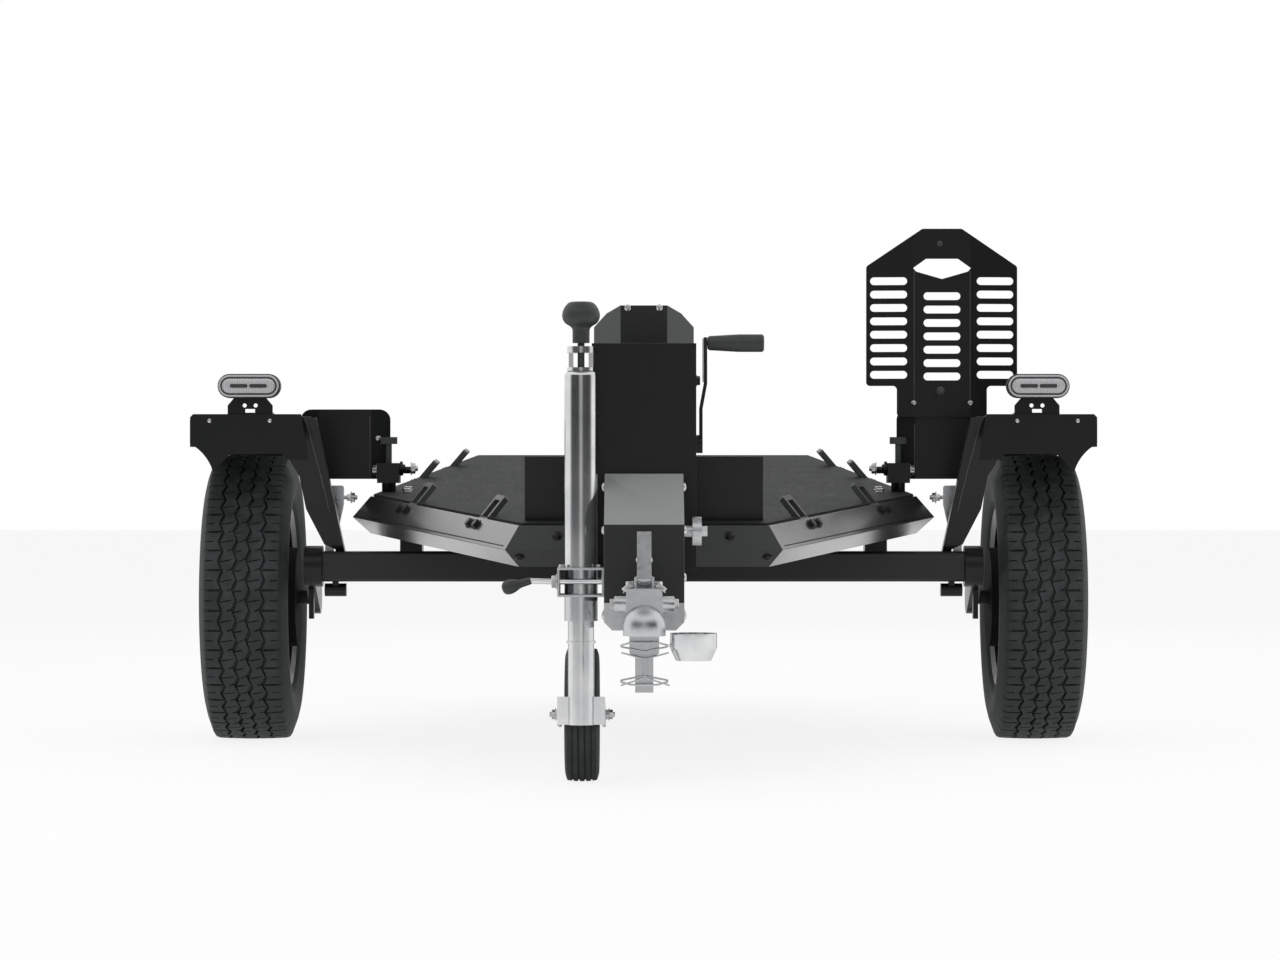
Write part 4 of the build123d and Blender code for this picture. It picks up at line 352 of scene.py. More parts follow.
finish_of = {
    gloss_coat: ("front_wing_right", "front_wing_left", "rear_wing_right", "rear_wing_left"),
    rail_coat: ("front_rail", "rear_rail"),
    sky_sheen_coat: ("drawbar_hood", "wheel_chock"),
    loop_coat: ("loops_front_right", "loops_front_left", "loops_rear_right", "loops_rear_left"),
    black_coat: ("rim_right", "rim_left", "winch_tower", "deck_frame", "bulkhead", "fender_right",
                 "fender_left", "fender_post_right", "fender_post_left", "lamp_bracket_right",
                 "lamp_bracket_left", "swing_arm_right", "swing_arm_left", "side_bracket_right",
                 "side_bracket_left", "ramp_plate", "crank_arm", "clamp_block_right",
                 "clamp_block_left", "axle_bushes"),
    satin_coat: ("axle_beam", "drawbar"),
    tread_sheet: ("deck_plate",),
    galvanised: ("coupling_body", "coupling_handle", "drawbar_cradle", "hitch_guide", "lever_plates",
                 "jockey_clamp", "guide_roller"),
    bright: ("jockey_tube", "jockey_inner_tube", "jockey_fork", "jockey_rim", "ball_cup"),
    rubber: ("tyre_right", "tyre_left", "jockey_tyre"),
    grip_black: ("crank_grip", "jockey_knob", "t_handle_right", "t_handle_left", "clamp_lever",
                 "lamp_right", "lamp_left"),
    drum_coat: ("wheel_hub_right", "wheel_hub_left"),
    reflector_red: ("side_reflectors",),
}
for finish, names in finish_of.items():
    for name in names:
        for slot in nodes[name].material_slots:
            slot.material = finish


def soften(name, width=0.0008, angle=28):
    """Merge a CAD node's loose triangles and round its sharp edges, as folding and coating do."""
    piece = nodes[name]
    weld = piece.modifiers.new("weld", "WELD")
    weld.merge_threshold = 0.00001
    edge = piece.modifiers.new("edge", "BEVEL")
    edge.width = width
    edge.segments = 2
    edge.limit_method = "ANGLE"
    edge.angle_limit = math.radians(angle)
    edge.use_clamp_overlap = True
    edge.harden_normals = True


softened = ("winch_tower", "drawbar_hood", "drawbar_cradle", "front_rail", "front_wing_right",
            "front_wing_left", "rear_wing_right", "rear_wing_left", "rear_rail", "bulkhead",
            "wheel_chock", "fender_right", "fender_left", "side_bracket_right", "side_bracket_left",
            "ramp_plate", "axle_beam", "drawbar", "coupling_body", "coupling_handle",
            "clamp_block_right", "clamp_block_left", "lever_plates", "jockey_clamp")
for name in softened:
    soften(name)


def new_piece(name, mesh, finish, body, slot, *stands_for):
    """A finished piece of the trailer: it rides on a body. The slot argument is not used."""
    if not mesh.materials:
        mesh.materials.append(finish)
    piece = bpy.data.objects.new(name, mesh)
    bpy.context.scene.collection.objects.link(piece)
    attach(piece, body)
    if stands_for:
        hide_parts(*stands_for)


def smoothed(mesh, angle=30):
    """Smooth shading, with the edges sharper than an angle kept crisp."""
    mesh.polygons.foreach_set("use_smooth", [True] * len(mesh.polygons))
    mesh.set_sharp_from_angle(angle=math.radians(angle))
    return mesh


def geometry_tree(name, inputs):
    """An empty Geometry Nodes tree with named inputs, and its first and last node."""
    tree = bpy.data.node_groups.new(name, "GeometryNodeTree")
    tree.interface.new_socket("Geometry", in_out="INPUT", socket_type="NodeSocketGeometry")
    for label, kind in inputs.items():
        tree.interface.new_socket(label, in_out="INPUT", socket_type="NodeSocket" + kind)
    tree.interface.new_socket("Geometry", in_out="OUTPUT", socket_type="NodeSocketGeometry")
    return tree, put(tree, "NodeGroupInput").outputs, put(tree, "NodeGroupOutput").inputs


def grown(tree, source, **inputs):
    """Run a tree on a mesh and return the result as a plain mesh."""
    seed = bpy.data.objects.new("seed", source)
    bpy.context.scene.collection.objects.link(seed)
    modifier = seed.modifiers.new("grow", "NODES")
    modifier.node_group = tree
    for item in tree.interface.items_tree:
        if item.in_out == "INPUT" and item.name in inputs:
            modifier[item.identifier] = inputs[item.name]
    bpy.context.view_layer.update()
    evaluated = seed.evaluated_get(bpy.context.evaluated_depsgraph_get())
    mesh = bpy.data.meshes.new_from_object(evaluated)
    seed.modifiers.remove(modifier)
    bpy.data.objects.remove(seed)
    return mesh


# Road tyres: moulded rubber with five zigzag ribs, sipes in the ribs and a block at each shoulder.
# One pitch of the mould is modelled, and it is set forty-five times round the wheel.
tyre_radius = 0.2875
tread_half = 0.067
tread_pitches = 45
groove_depth = 0.0068
groove_half = 0.0027
zigzag = 0.0038
crown_drop = 0.002
shoulder_cut = 0.0018
groove_taper = 0.0006
shoulder_radius = 0.279
bead_half = 0.0615
bead_radius = 0.1683
groove_places = (-0.0415, -0.0130, 0.0130, 0.0415)
wide_sipe = (0.235, 0.325, 0.0050)
thin_sipe = (0.745, 0.785, 0.0040)
rib_slant = 0.14
sidewall = [(0.0725, 0.2836), (0.0752, 0.2795), (0.0790, 0.2690), (0.0838, 0.2560), (0.0868, 0.2440),
            (0.0872, 0.2425), (0.0872, 0.2395), (0.0876, 0.2380), (0.0874, 0.2260), (0.0845, 0.2100),
            (0.0800, 0.1985), (0.0795, 0.1965), (0.0760, 0.1920), (0.0690, 0.1850), (0.0655, 0.1805),
            (0.0640, 0.1700)]
row_shares = (0.0, 0.06, 0.13, 0.19, 0.225, 0.235, 0.325, 0.335, 0.4, 0.5, 0.58, 0.66, 0.735, 0.745,
              0.785, 0.795, 0.88, 0.94)


def zig(phase):
    """A rounded zigzag between -1 and 1, once a pitch."""
    return math.sin(2 * math.pi * phase) * 0.85 + math.sin(6 * math.pi * phase) * -0.1


def sipe_cut(phase, rib, share):
    """How deep the rubber is slit at one place of a rib."""
    wide = wide_sipe[0] <= phase <= wide_sipe[1]
    thin = thin_sipe[0] <= phase <= thin_sipe[1]
    if rib in (0, 4):
        from_edge = share if rib == 0 else 1 - share
        return wide_sipe[2] * (wide and 0.1 < from_edge < 0.9) + thin_sipe[2] * (thin and from_edge < 0.5)
    odd = rib % 2
    later = thin and (share < 0.7 if odd else share > 0.3)
    sooner = wide and phase < 0.3 and (share > 0.5 if odd else share < 0.5)
    return thin_sipe[2] * later + thin_sipe[2] * sooner


def tread_row(phase):
    """Points across the tyre at one place round it: lateral place, radius and lead in the turn."""
    points = [(-x, r, 0.0) for x, r in sidewall[::-1]]
    edges = [-tread_half]
    for number, place in enumerate(groove_places):
        middle = place + zigzag * zig(phase + 0.5 * (number % 2))
        edges += [middle - groove_half, middle + groove_half]
    edges.append(tread_half)
    for rib in range(5):
        low, high = edges[2 * rib], edges[2 * rib + 1]
        for share in (0.0, 0.14, 0.4, 0.6, 0.86, 1.0):
            x = low + (high - low) * share
            lead = rib_slant * (share - 0.5) * (0 < rib < 4)
            crown = crown_drop * (x / tread_half) ** 2
            points.append((x, tyre_radius - crown - sipe_cut(phase, rib, share), lead))
        if rib < 4:
            floor_radius = tyre_radius - groove_depth - crown_drop * (high / tread_half) ** 2
            points.append((high + groove_taper, floor_radius, lead))
            points.append((edges[2 * rib + 2] - groove_taper, floor_radius, -rib_slant / 2 * (rib < 3)))
    points += [(x, r, 0.0) for x, r in sidewall]
    notch = shoulder_cut * (wide_sipe[0] <= phase <= wide_sipe[1])
    return [(x, r - notch * (abs(x) > tread_half - 0.001 and r > shoulder_radius), lead)
            for x, r, lead in points]


def tyre_slice():
    """One pitch of the tyre, about the X axis."""
    pitch = 2 * math.pi / tread_pitches
    shares = row_shares + (1.0,)
    rows = [tread_row(share) for share in shares]
    inner = [(bead_half, bead_radius, 0.0), (-bead_half, bead_radius, 0.0)]
    vertices, faces = [], []
    for share, row in zip(shares, rows):
        for x, r, lead in row + inner:
            angle = (share + lead) * pitch
            vertices.append((x, r * math.sin(angle), r * math.cos(angle)))
    width = len(rows[0]) + len(inner)
    for row in range(len(rows) - 1):
        near, far = row * width, (row + 1) * width
        for column in range(width):
            step = (column + 1) % width
            faces.append((near + column, near + step, far + step, far + column))
    mesh = bpy.data.meshes.new("tyre_slice")
    mesh.from_pydata(vertices, [], faces)
    return mesh


wheel_tree, given, wanted = geometry_tree("set_round_wheel", {"Count": "Int", "Finish": "Material"})
spokes = put(wheel_tree, "GeometryNodeMeshLine", {}, {"Count": given["Count"], "Offset": (0, 0, 0)})
index = Shade(put(wheel_tree, "GeometryNodeInputIndex").outputs[0])
turn = put(wheel_tree, "ShaderNodeCombineXYZ", {}, {"X": index * (-2 * math.pi) / given["Count"]})
copies = put(wheel_tree, "GeometryNodeInstanceOnPoints", {}, {
    "Points": spokes.outputs[0],
    "Instance": given["Geometry"],
    "Rotation": turn.outputs[0],
})
joined = put(wheel_tree, "GeometryNodeRealizeInstances", {}, {0: copies.outputs[0]})
doubles = {0: joined.outputs[0], "Distance": 0.00002}
merged = put(wheel_tree, "GeometryNodeMergeByDistance", {}, doubles)
coat = {0: merged.outputs[0], "Material": given["Finish"]}
coated = put(wheel_tree, "GeometryNodeSetMaterial", {}, coat)
wheel_tree.links.new(coated.outputs[0], wanted[0])


def node_middle(name):
    """The middle of a CAD node's box."""
    low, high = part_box(name)
    return (low + high) / 2


def outward(mesh):
    """Merge doubles and turn every face outwards."""
    shape = bmesh.new()
    shape.from_mesh(mesh)
    bmesh.ops.remove_doubles(shape, verts=shape.verts, dist=0.00001)
    bmesh.ops.recalc_face_normals(shape, faces=shape.faces)
    shape.to_mesh(mesh)
    shape.free()
    return mesh


for side in ("right", "left"):
    tyre_mesh = outward(grown(wheel_tree, tyre_slice(), Count=tread_pitches, Finish=rubber))
    tyre_mesh.transform(Matrix.Translation(node_middle("tyre_" + side)))
    smoothed(tyre_mesh, 24)
    new_piece("road_tyre_" + side, tyre_mesh, rubber, "wheel_" + side, "tyre_rubber", "tyre_" + side)

# Round sheet and tube: the CAD pieces that are turned or bent get smooth shading across their
# facets, with every edge sharper than thirty degrees kept crisp.
shade_tree, given, wanted = geometry_tree("smooth_over_facets", {})
doubles = {0: given["Geometry"], "Distance": 0.00001}
merged = put(shade_tree, "GeometryNodeMergeByDistance", {}, doubles)
fold = Shade(put(shade_tree, "GeometryNodeInputMeshEdgeAngle").outputs["Unsigned Angle"])
blunt = fold < math.radians(30)
whole = {"Geometry": merged.outputs[0]}
faces = put(shade_tree, "GeometryNodeSetShadeSmooth", {"domain": "FACE"}, whole)
across_folds = {"Geometry": faces.outputs[0], 2: blunt}
edges = put(shade_tree, "GeometryNodeSetShadeSmooth", {"domain": "EDGE"}, across_folds)
shade_tree.links.new(edges.outputs[0], wanted[0])
round_pieces = ("jockey_tube", "jockey_inner_tube", "jockey_fork", "jockey_rim", "jockey_tyre",
                "jockey_knob", "clamp_lever", "ball_cup", "hitch_guide", "crank_arm", "crank_grip",
                "guide_roller", "swing_arm_right", "swing_arm_left", "rim_right", "rim_left",
                "wheel_hub_right", "wheel_hub_left", "t_handle_right", "t_handle_left", "lamp_right",
                "lamp_left", "axle_bushes", "fender_post_right", "fender_post_left")
for name in round_pieces:
    nodes[name].modifiers.new("smooth", "NODES").node_group = shade_tree

# Fasteners: zinc-plated hexagon bolts and nuts on washers, button heads and blind rivets. Each
# kind is turned from outlines of one radius and set on its holes, facing out of the sheet.
wheel_line = 0.20988
focal_pixels = 4084
picture_middle = (640, 472.2)
bolt_radius = 0.0085
large_bolt_radius = 0.0095
rivet_radius = 0.0042
surfaces = {}


def at(x, ahead, z):
    """A place on the trailer: across, ahead of the wheels' axle, and above the ground."""
    return Vector((x, wheel_line - ahead, z))


def meet(name, start, towards):
    """Where a straight line meets a CAD node, and the way its surface faces there."""
    if name not in surfaces:
        mesh = nodes[name].data
        corners = [vertex.co for vertex in mesh.vertices]
        surfaces[name] = BVHTree.FromPolygons(corners, [face.vertices for face in mesh.polygons])
    place, facing, _, _ = surfaces[name].ray_cast(Vector(start), Vector(towards).normalized())
    return place, facing


def sighted(name, across, down):
    """Where the line of sight through a place of the photograph meets a CAD node."""
    right = (across - picture_middle[0]) / focal_pixels
    rise = (picture_middle[1] - down) / focal_pixels
    return meet(name, camera_place, (right, 1, rise))


def turned(*shells):
    """Closed shells turned about Z: each one a number of sides and an outline of (radius, height)."""
    shape = bmesh.new()
    for sides, outline in shells:
        rings = []
        for radius, height in outline:
            turns = [2 * math.pi * side / sides for side in range(sides if radius else 1)]
            ring = [(radius * math.cos(turn), radius * math.sin(turn), height) for turn in turns]
            rings.append([shape.verts.new(corner) for corner in ring])
        for low, high in zip(rings, rings[1:]):
            for side in range(sides):
                after = (side + 1) % sides
                below = (low[side % len(low)], low[after % len(low)])
                above = (high[after % len(high)], high[side % len(high)])
                shape.faces.new(list(dict.fromkeys(below + above)))
    bmesh.ops.recalc_face_normals(shape, faces=shape.faces)
    mesh = bpy.data.meshes.new("turned")
    shape.to_mesh(mesh)
    shape.free()
    return mesh


washer = (18, [(0, 0), (1.28, 0), (1.28, 0.14), (1.2, 0.18), (0, 0.18)])
hexagon = (6, [(0, 0.18), (1.0, 0.18), (1.0, 0.78), (0.88, 0.9), (0, 0.9)])
stud = (12, [(0, 0.9), (0.5, 0.9), (0.5, 1.25), (0.42, 1.34), (0, 1.34)])
bolt_head = turned(washer, hexagon)
nut_on_stud = turned(washer, hexagon, stud)
button_head = turned((18, [(0, 0), (1, 0), (1, 0.1), (0.9, 0.32), (0.66, 0.5), (0.34, 0.59), (0, 0.62)]))
rivet_head = turned((14, [(0, 0), (1, 0), (0.93, 0.2), (0.62, 0.4), (0.3, 0.46), (0.26, 0.3), (0, 0.3)]))

wants = {"Fastener": "Object", "Finish": "Material"}
fastener_tree, given, wanted = geometry_tree("set_fasteners", wants)
kind = put(fastener_tree, "GeometryNodeObjectInfo", {"transform_space": "ORIGINAL"}, {
    "Object": given["Fastener"],
})
facing, radius = (
    put(fastener_tree, "GeometryNodeInputNamedAttribute", {"data_type": data_type}, {"Name": name})
    for name, data_type in (("facing", "FLOAT_VECTOR"), ("radius", "FLOAT"))
)
aimed = put(fastener_tree, "FunctionNodeAlignRotationToVector", {"axis": "Z"}, {
    "Vector": facing.outputs[0],
})
copies = put(fastener_tree, "GeometryNodeInstanceOnPoints", {}, {
    "Points": given["Geometry"],
    "Instance": kind.outputs["Geometry"],
    "Rotation": aimed.outputs[0],
    "Scale": radius.outputs[0],
})
joined = put(fastener_tree, "GeometryNodeRealizeInstances", {}, {0: copies.outputs[0]})
coat = {0: joined.outputs[0], "Material": given["Finish"]}
coated = put(fastener_tree, "GeometryNodeSetMaterial", {}, coat)
fastener_tree.links.new(coated.outputs[0], wanted[0])


def set_on(kind, finish, places):
    """One mesh of a kind of fastener, set on places: (point, facing) and a radius each."""
    points = bpy.data.meshes.new("places")
    points.from_pydata([place for (place, _), _ in places], [], [])
    facing = points.attributes.new("facing", "FLOAT_VECTOR", "POINT")
    facing.data.foreach_set("vector", [number for (_, way), _ in places for number in way])
    radius = points.attributes.new("radius", "FLOAT", "POINT")
    radius.data.foreach_set("value", [size for _, size in places])
    sample = bpy.data.objects.new("sample", kind)
    bpy.context.scene.collection.objects.link(sample)
    mesh = grown(fastener_tree, points, Fastener=sample, Finish=finish)
    bpy.data.objects.remove(sample)
    return smoothed(mesh, 32)


def both_sides(places):
    """The places and their mirror images on the trailer's other side."""
    flip = Vector((-1, 1, 1))
    return places + [((place * flip, way * flip), size) for (place, way), size in places]


# Rails and loops: two bolts through a wing's face hold each tie-down loop behind it, and domed
# bolts hold the front rail to the drawbar. The heads are coated black like the sheet.
loop_middles = (
    ("front_wing_right", (0.369, 0.928, 0.056), (-0.603, 0.194, 0.774),
     ((0.2772, -0.5914, 0.4714), (0.4274, -0.2137, 0.4940))),
    ("rear_wing_right", (-0.109, 0.992, 0.059), (-0.645, -0.116, 0.755),
     ((0.4567, 0.5659, 0.5407), (0.4108, 0.9851, 0.5659))),
)
bolt_shifts = (-0.005, 0.032)
bolt_drop = 0.041
outside = 0.06
loop_bolts = []
for wing, along, climb, middles in loop_middles:
    along, climb = Vector(along), Vector(climb)
    out = along.cross(climb)
    for middle in middles:
        for shift in bolt_shifts:
            start = Vector(middle) + along * shift - climb * bolt_drop + out * outside
            loop_bolts.append((meet(wing, start, -out), bolt_radius))
new_piece("loop_bolts", set_on(bolt_head, black_coat, both_sides(loop_bolts)),
          black_coat, "trailer", "black_paint")
rail_spots = ((557.4, 535.8), (729.6, 535.8), (519.6, 557.3), (767.4, 557.3))
rail_domes = [(sighted("front_rail", *spot), 0.0088) for spot in rail_spots]
new_piece("rail_domes", set_on(button_head, black_coat, rail_domes), black_coat, "trailer", "black_paint")

# Chock, hood, cradle and tower: bent sheet, bolted through with plated button heads. Two of the
# chock's show over the tower's edge, and the tower's own bolts are coated black.
plated = [(sighted("wheel_chock", across, 308), 0.0063) for across in (627.7, 659.5)]
plated += [(meet("wheel_chock", at(x, 1.2, z), (0, 1, 0)), 0.0063)
           for x in (-0.0285, 0.0285) for z in (0.56, 0.5)]
plated += both_sides([
    (meet("drawbar_hood", at(0.3, 1.245, 0.515), (-1, 0, 0)), bolt_radius),
    (meet("drawbar_hood", at(0.3, 1.378, 0.442), (-1, 0, 0)), 0.0075),
    (meet("drawbar_hood", at(0.3, 1.29, 0.36), (-1, 0, 0)), bolt_radius),
    (meet("drawbar_cradle", at(0.3, 1.34, 0.296), (-1, 0, 0)), 0.007),
    (meet("drawbar_cradle", at(0.3, 1.19, 0.296), (-1, 0, 0)), 0.007),
])
new_piece("plated_button_heads", set_on(button_head, bolt_steel, plated),
          bolt_steel, "trailer", "galvanised")
tower_bolts = both_sides([
    (meet("winch_tower", at(0.3, 1.19, z), (-1, 0, 0)), 0.008) for z in (0.42, 0.7)
])
new_piece("tower_side_bolts", set_on(bolt_head, black_coat, tower_bolts),
          black_coat, "trailer", "black_paint")

# Fenders and lamps: the skins are riveted, and each lamp's bracket is bolted to the fender's top
# behind its front edge. A lamp is a clear ring, a black seal and a ribbed lens with two dark bars.
front = (0, 1, 0)
rivets = both_sides([
    (meet("fender_right", at(x, 1.0, 0.641), front), rivet_radius) for x in (0.729, 0.847)
])
new_piece("fender_rivets", set_on(rivet_head, bolt_steel, rivets), bolt_steel, "trailer", "galvanised")
side_rivets = both_sides([
    (meet("fender_right", at(1.1, ahead, 0.634), (-1, 0, 0)), rivet_radius)
    for ahead in (0.29, 0.15, 0.0, -0.15, -0.29)
])
new_piece("fender_side_rivets", set_on(rivet_head, bolt_steel, side_rivets),
          bolt_steel, "trailer", "galvanised")
bracket_bolts = both_sides([
    (meet("fender_right", at(x, 0.295, 0.9), (0, 0, -1)), 0.006) for x in (0.742, 0.795)
])
new_piece("lamp_bracket_bolts", set_on(bolt_head, black_coat, bracket_bolts),
          black_coat, "trailer", "black_paint")


def stadium(half_length, radius, y, steps=12):
    """An oval with straight long sides, across the trailer."""
    run = half_length - radius
    points = []
    for side in (1, -1):
        for step in range(steps + 1):
            angle = math.pi * step / steps - math.pi / 2
            points.append((side * (run + radius * math.cos(angle)), y, side * radius * math.sin(angle)))
    return points


def oval_shell(*rings):
    """A closed shell through ovals, from the back to the front: (half length, radius, forward)."""
    shape = bmesh.new()
    loops = []
    for length, radius, forward in rings:
        loops.append([shape.verts.new(point) for point in stadium(length, radius, -forward)])
    for low, high in zip(loops, loops[1:]):
        for side in range(len(low)):
            after = (side + 1) % len(low)
            shape.faces.new((low[side], low[after], high[after], high[side]))
    shape.faces.new(loops[0][::-1])
    shape.faces.new(loops[-1])
    bmesh.ops.recalc_face_normals(shape, faces=shape.faces)
    mesh = bpy.data.meshes.new("oval_shell")
    shape.to_mesh(mesh)
    shape.free()
    return smoothed(mesh, 35)


low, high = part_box("lamp_right")
lamp_middle = Vector(((low.x + high.x) / 2, low.y, (low.z + high.z) / 2))
ring = oval_shell((0.0588, 0.0213, -0.001), (0.0588, 0.0213, 0.0016), (0.0577, 0.0202, 0.0026),
                  (0.0552, 0.0177, 0.0028), (0.054, 0.0165, 0.0012))
seal = oval_shell((0.0548, 0.0173, 0.0), (0.0548, 0.0173, 0.0032), (0.0505, 0.013, 0.0034))
lens = oval_shell((0.0515, 0.014, 0.0), (0.0515, 0.014, 0.0036), (0.047, 0.0097, 0.0054),
                  (0.0432, 0.0059, 0.0057))
lamp_parts = (
    ("lamp_ring", lens_clear, "lamp_lens", ring),
    ("lamp_seal", grip_black, "black_plastic", seal),
    ("lamp_lens", lens_clear, "lamp_lens", lens),
)
for side, flip in (("right", 1), ("left", -1)):
    middle = lamp_middle * Vector((flip, 1, 1))
    for name, finish, slot, shell in lamp_parts:
        mesh = shell.copy()
        mesh.transform(Matrix.Translation(middle))
        new_piece(name + "_" + side, mesh, finish, "trailer", slot)
    segments = bmesh.new()
    for shift in (-0.0188, 0.0188):
        bar = oval_shell((0.0172, 0.0036, 0.004), (0.0172, 0.0036, 0.0066), (0.0162, 0.0026, 0.0071))
        bar.transform(Matrix.Translation(middle + Vector((shift, 0, 0))))
        segments.from_mesh(bar)
    mesh = bpy.data.meshes.new("lamp_segments")
    segments.to_mesh(mesh)
    segments.free()
    new_piece("lamp_segments_" + side, smoothed(mesh, 35), grip_black, "trailer", "black_plastic")

# Side blocks and ramp: each block has a bolt in its outer side, two into the deck and a plunger
# with its collar on its inner face. Small plated ends show in the folds of bracket and ramp.
block_bolts = both_sides([
    ((at(0.535, 0.101, 0.545), Vector((1, 0, 0))), large_bolt_radius),
    (meet("deck_plate", at(0.474, 0.13, 0.9), (0, 0, -1)), 0.008),
    (meet("deck_plate", at(0.474, 0.07, 0.9), (0, 0, -1)), 0.008),
])
new_piece("block_bolts", set_on(bolt_head, bolt_steel, block_bolts), bolt_steel, "trailer", "galvanised")
plungers = both_sides([(meet("clamp_block_right", at(0.2, 0.116, 0.548), (1, 0, 0)), 0.0105)])
new_piece("plunger_nuts", set_on(nut_on_stud, bolt_steel, plungers), bolt_steel, "trailer", "galvanised")
bracket_studs = [(sighted("side_bracket_left", 378.5, 438.5), 0.0062)]
new_piece("bracket_studs", set_on(button_head, bolt_steel, bracket_studs),
          bolt_steel, "trailer", "galvanised")
collar = turned((24, [(0, 0), (1, 0), (1, 0.3), (0.92, 0.38), (0.6, 0.4), (0.55, 0.7), (0, 0.7)]))
collars = both_sides([((at(0.4875, 0.116, 0.548), Vector((-1, 0, 0))), 0.0145)])
new_piece("plunger_collars", set_on(collar, black_coat, collars), black_coat, "trailer", "black_paint")
ramp_studs = [(sighted("ramp_plate", across, 403), 0.0055) for across in (913.5, 970.1)]
new_piece("ramp_studs", set_on(button_head, bolt_steel, ramp_studs), bolt_steel, "ramp", "galvanised")
ramp_bolts = [
    (sighted("ramp_plate", 940.5, 390.8), 0.0065),
    (sighted("ramp_plate", 939.6, 243.7), 0.0045),
]
new_piece("ramp_bolts", set_on(nut_on_stud, loop_coat, ramp_bolts), loop_coat, "ramp", "black_paint")

# Axle: a nut on a stud holds each lever plate. A pressed bright cap closes each hub, and a black
# valve stands in each rim.
lever_nuts = both_sides([(meet("lever_plates", at(0.4, 0.12, 0.49), (1, 0, 0)), large_bolt_radius)])
new_piece("lever_nuts", set_on(nut_on_stud, bolt_steel, lever_nuts), bolt_steel, "trailer", "galvanised")
cap = turned((32, [(0, 0), (1, 0), (1, 0.34), (0.94, 0.42), (0.62, 0.46), (0.56, 0.5), (0.3, 0.54),
                   (0, 0.55)]))
valve = turned((14, [(0, 0), (1, 0), (1, 1.6), (0.62, 2.0), (0.62, 4.4), (0.8, 4.5), (0.8, 6.4),
                     (0.6, 6.8), (0, 6.8)]))
cap_radius = 0.027
valve_radius = 0.0045
for side, flip in (("right", 1), ("left", -1)):
    wheel = "wheel_" + side
    hub_end = (Vector((flip * 0.816, wheel_line, tyre_radius)), Vector((flip, 0, 0)))
    hub_cap = set_on(cap, bright, [(hub_end, cap_radius)])
    new_piece("hub_cap_" + side, hub_cap, bright, wheel, "bright_plating")
    valve_foot = Vector((flip * 0.8065, wheel_line + 0.094, tyre_radius + 0.066))
    valve_end = (valve_foot, Vector((flip, 0.12, 0.1)).normalized())
    tyre_valve = set_on(valve, grip_black, [(valve_end, valve_radius)])
    new_piece("tyre_valve_" + side, tyre_valve, grip_black, wheel, "black_plastic")

# Jockey wheel: a nut at each end of the fork's axle, and two screws on top of the box clamp's
# strap.
axle_nuts = [(meet("jockey_fork", at(x, 1.15, 0.1167), (way, 0, 0)), bolt_radius)
             for x, way in ((-0.4, 1), (0.2, -1))]
yoke_nuts = set_on(nut_on_stud, bolt_steel, axle_nuts)
new_piece("jockey_axle_nuts", yoke_nuts, bolt_steel, "jockey_yoke", "galvanised")
clamp_nuts = [
    (meet("jockey_clamp", at(-0.14, 1.318, 0.6), (0, 0, -1)), 0.0055),
    (meet("jockey_clamp", at(-0.078, 1.318, 0.6), (0, 0, -1)), 0.0055),
]
new_piece("clamp_nuts", set_on(bolt_head, bolt_steel, clamp_nuts), bolt_steel, "trailer", "galvanised")

# Coupling: a drop forging on the drawbar's end, held by four upright bolts and one from each side.
# Its handle is a riveted strap, and the guide below it is bound with thin rod.
down = (0, 0, -1)
coupling_bolts = [(meet("coupling_body", at(x, 1.47, 0.9), down), large_bolt_radius)
                  for x in (-0.021, 0.021)]
coupling_bolts += [(meet("coupling_body", at(x, 1.578, 0.9), down), bolt_radius)
                   for x in (-0.0262, 0.0262)]
coupling_bolts += both_sides([(meet("coupling_body", at(0.3, 1.585, 0.324), (-1, 0, 0)), bolt_radius)])
new_piece("coupling_bolts", set_on(bolt_head, bolt_steel, coupling_bolts),
          bolt_steel, "trailer", "galvanised")
handle_rivets = both_sides([(meet("coupling_handle", at(0.3, ahead, z), (-1, 0, 0)), 0.004)
                            for ahead, z in ((1.56, 0.366), (1.52, 0.395))])
strap_rivets = set_on(rivet_head, bolt_steel, handle_rivets)
new_piece("handle_rivets", strap_rivets, bolt_steel, "coupling_latch", "galvanised")


def rod(radius, path, sides=10):
    """A thin rod bent along straight runs, closed at both ends."""
    points = [Vector(point) for point in path]
    shape = bmesh.new()
    rings = []
    for number, point in enumerate(points):
        before, after = points[max(number - 1, 0)], points[min(number + 1, len(points) - 1)]
        along = (after - before).normalized()
        aside = along.cross(Vector((0, 1, 0.01))).normalized()
        rise = along.cross(aside)
        ring = []
        for turn in (2 * math.pi * side / sides for side in range(sides)):
            out = aside * math.cos(turn) + rise * math.sin(turn)
            ring.append(shape.verts.new(point + out * radius))
        rings.append(ring)
    for low, high in zip(rings, rings[1:]):
        for side in range(sides):
            after = (side + 1) % sides
            shape.faces.new((low[side], low[after], high[after], high[side]))
    shape.faces.new(rings[0][::-1])
    shape.faces.new(rings[-1])
    bmesh.ops.recalc_face_normals(shape, faces=shape.faces)
    mesh = bpy.data.meshes.new("rod")
    shape.to_mesh(mesh)
    shape.free()
    return smoothed(mesh, 40)


def as_one(meshes):
    """Several meshes as one."""
    shape = bmesh.new()
    for mesh in meshes:
        shape.from_mesh(mesh)
    whole = bpy.data.meshes.new("joined")
    shape.to_mesh(whole)
    shape.free()
    return smoothed(whole, 40)


guide_face = -1.3822
for_guide = [
    rod(0.0014, [(0.0015, guide_face, 0.236), (0.0015, guide_face, 0.199)]),
    rod(0.0014, [(-0.0385, -1.377, 0.190), (0.0015, guide_face, 0.2035), (0.0415, -1.377, 0.190)]),
    rod(0.0014, [(-0.0375, -1.377, 0.244), (0.0015, guide_face, 0.2335), (0.0405, -1.377, 0.244)]),
]
new_piece("guide_bindings", as_one(for_guide), galvanised, "trailer", "galvanised")

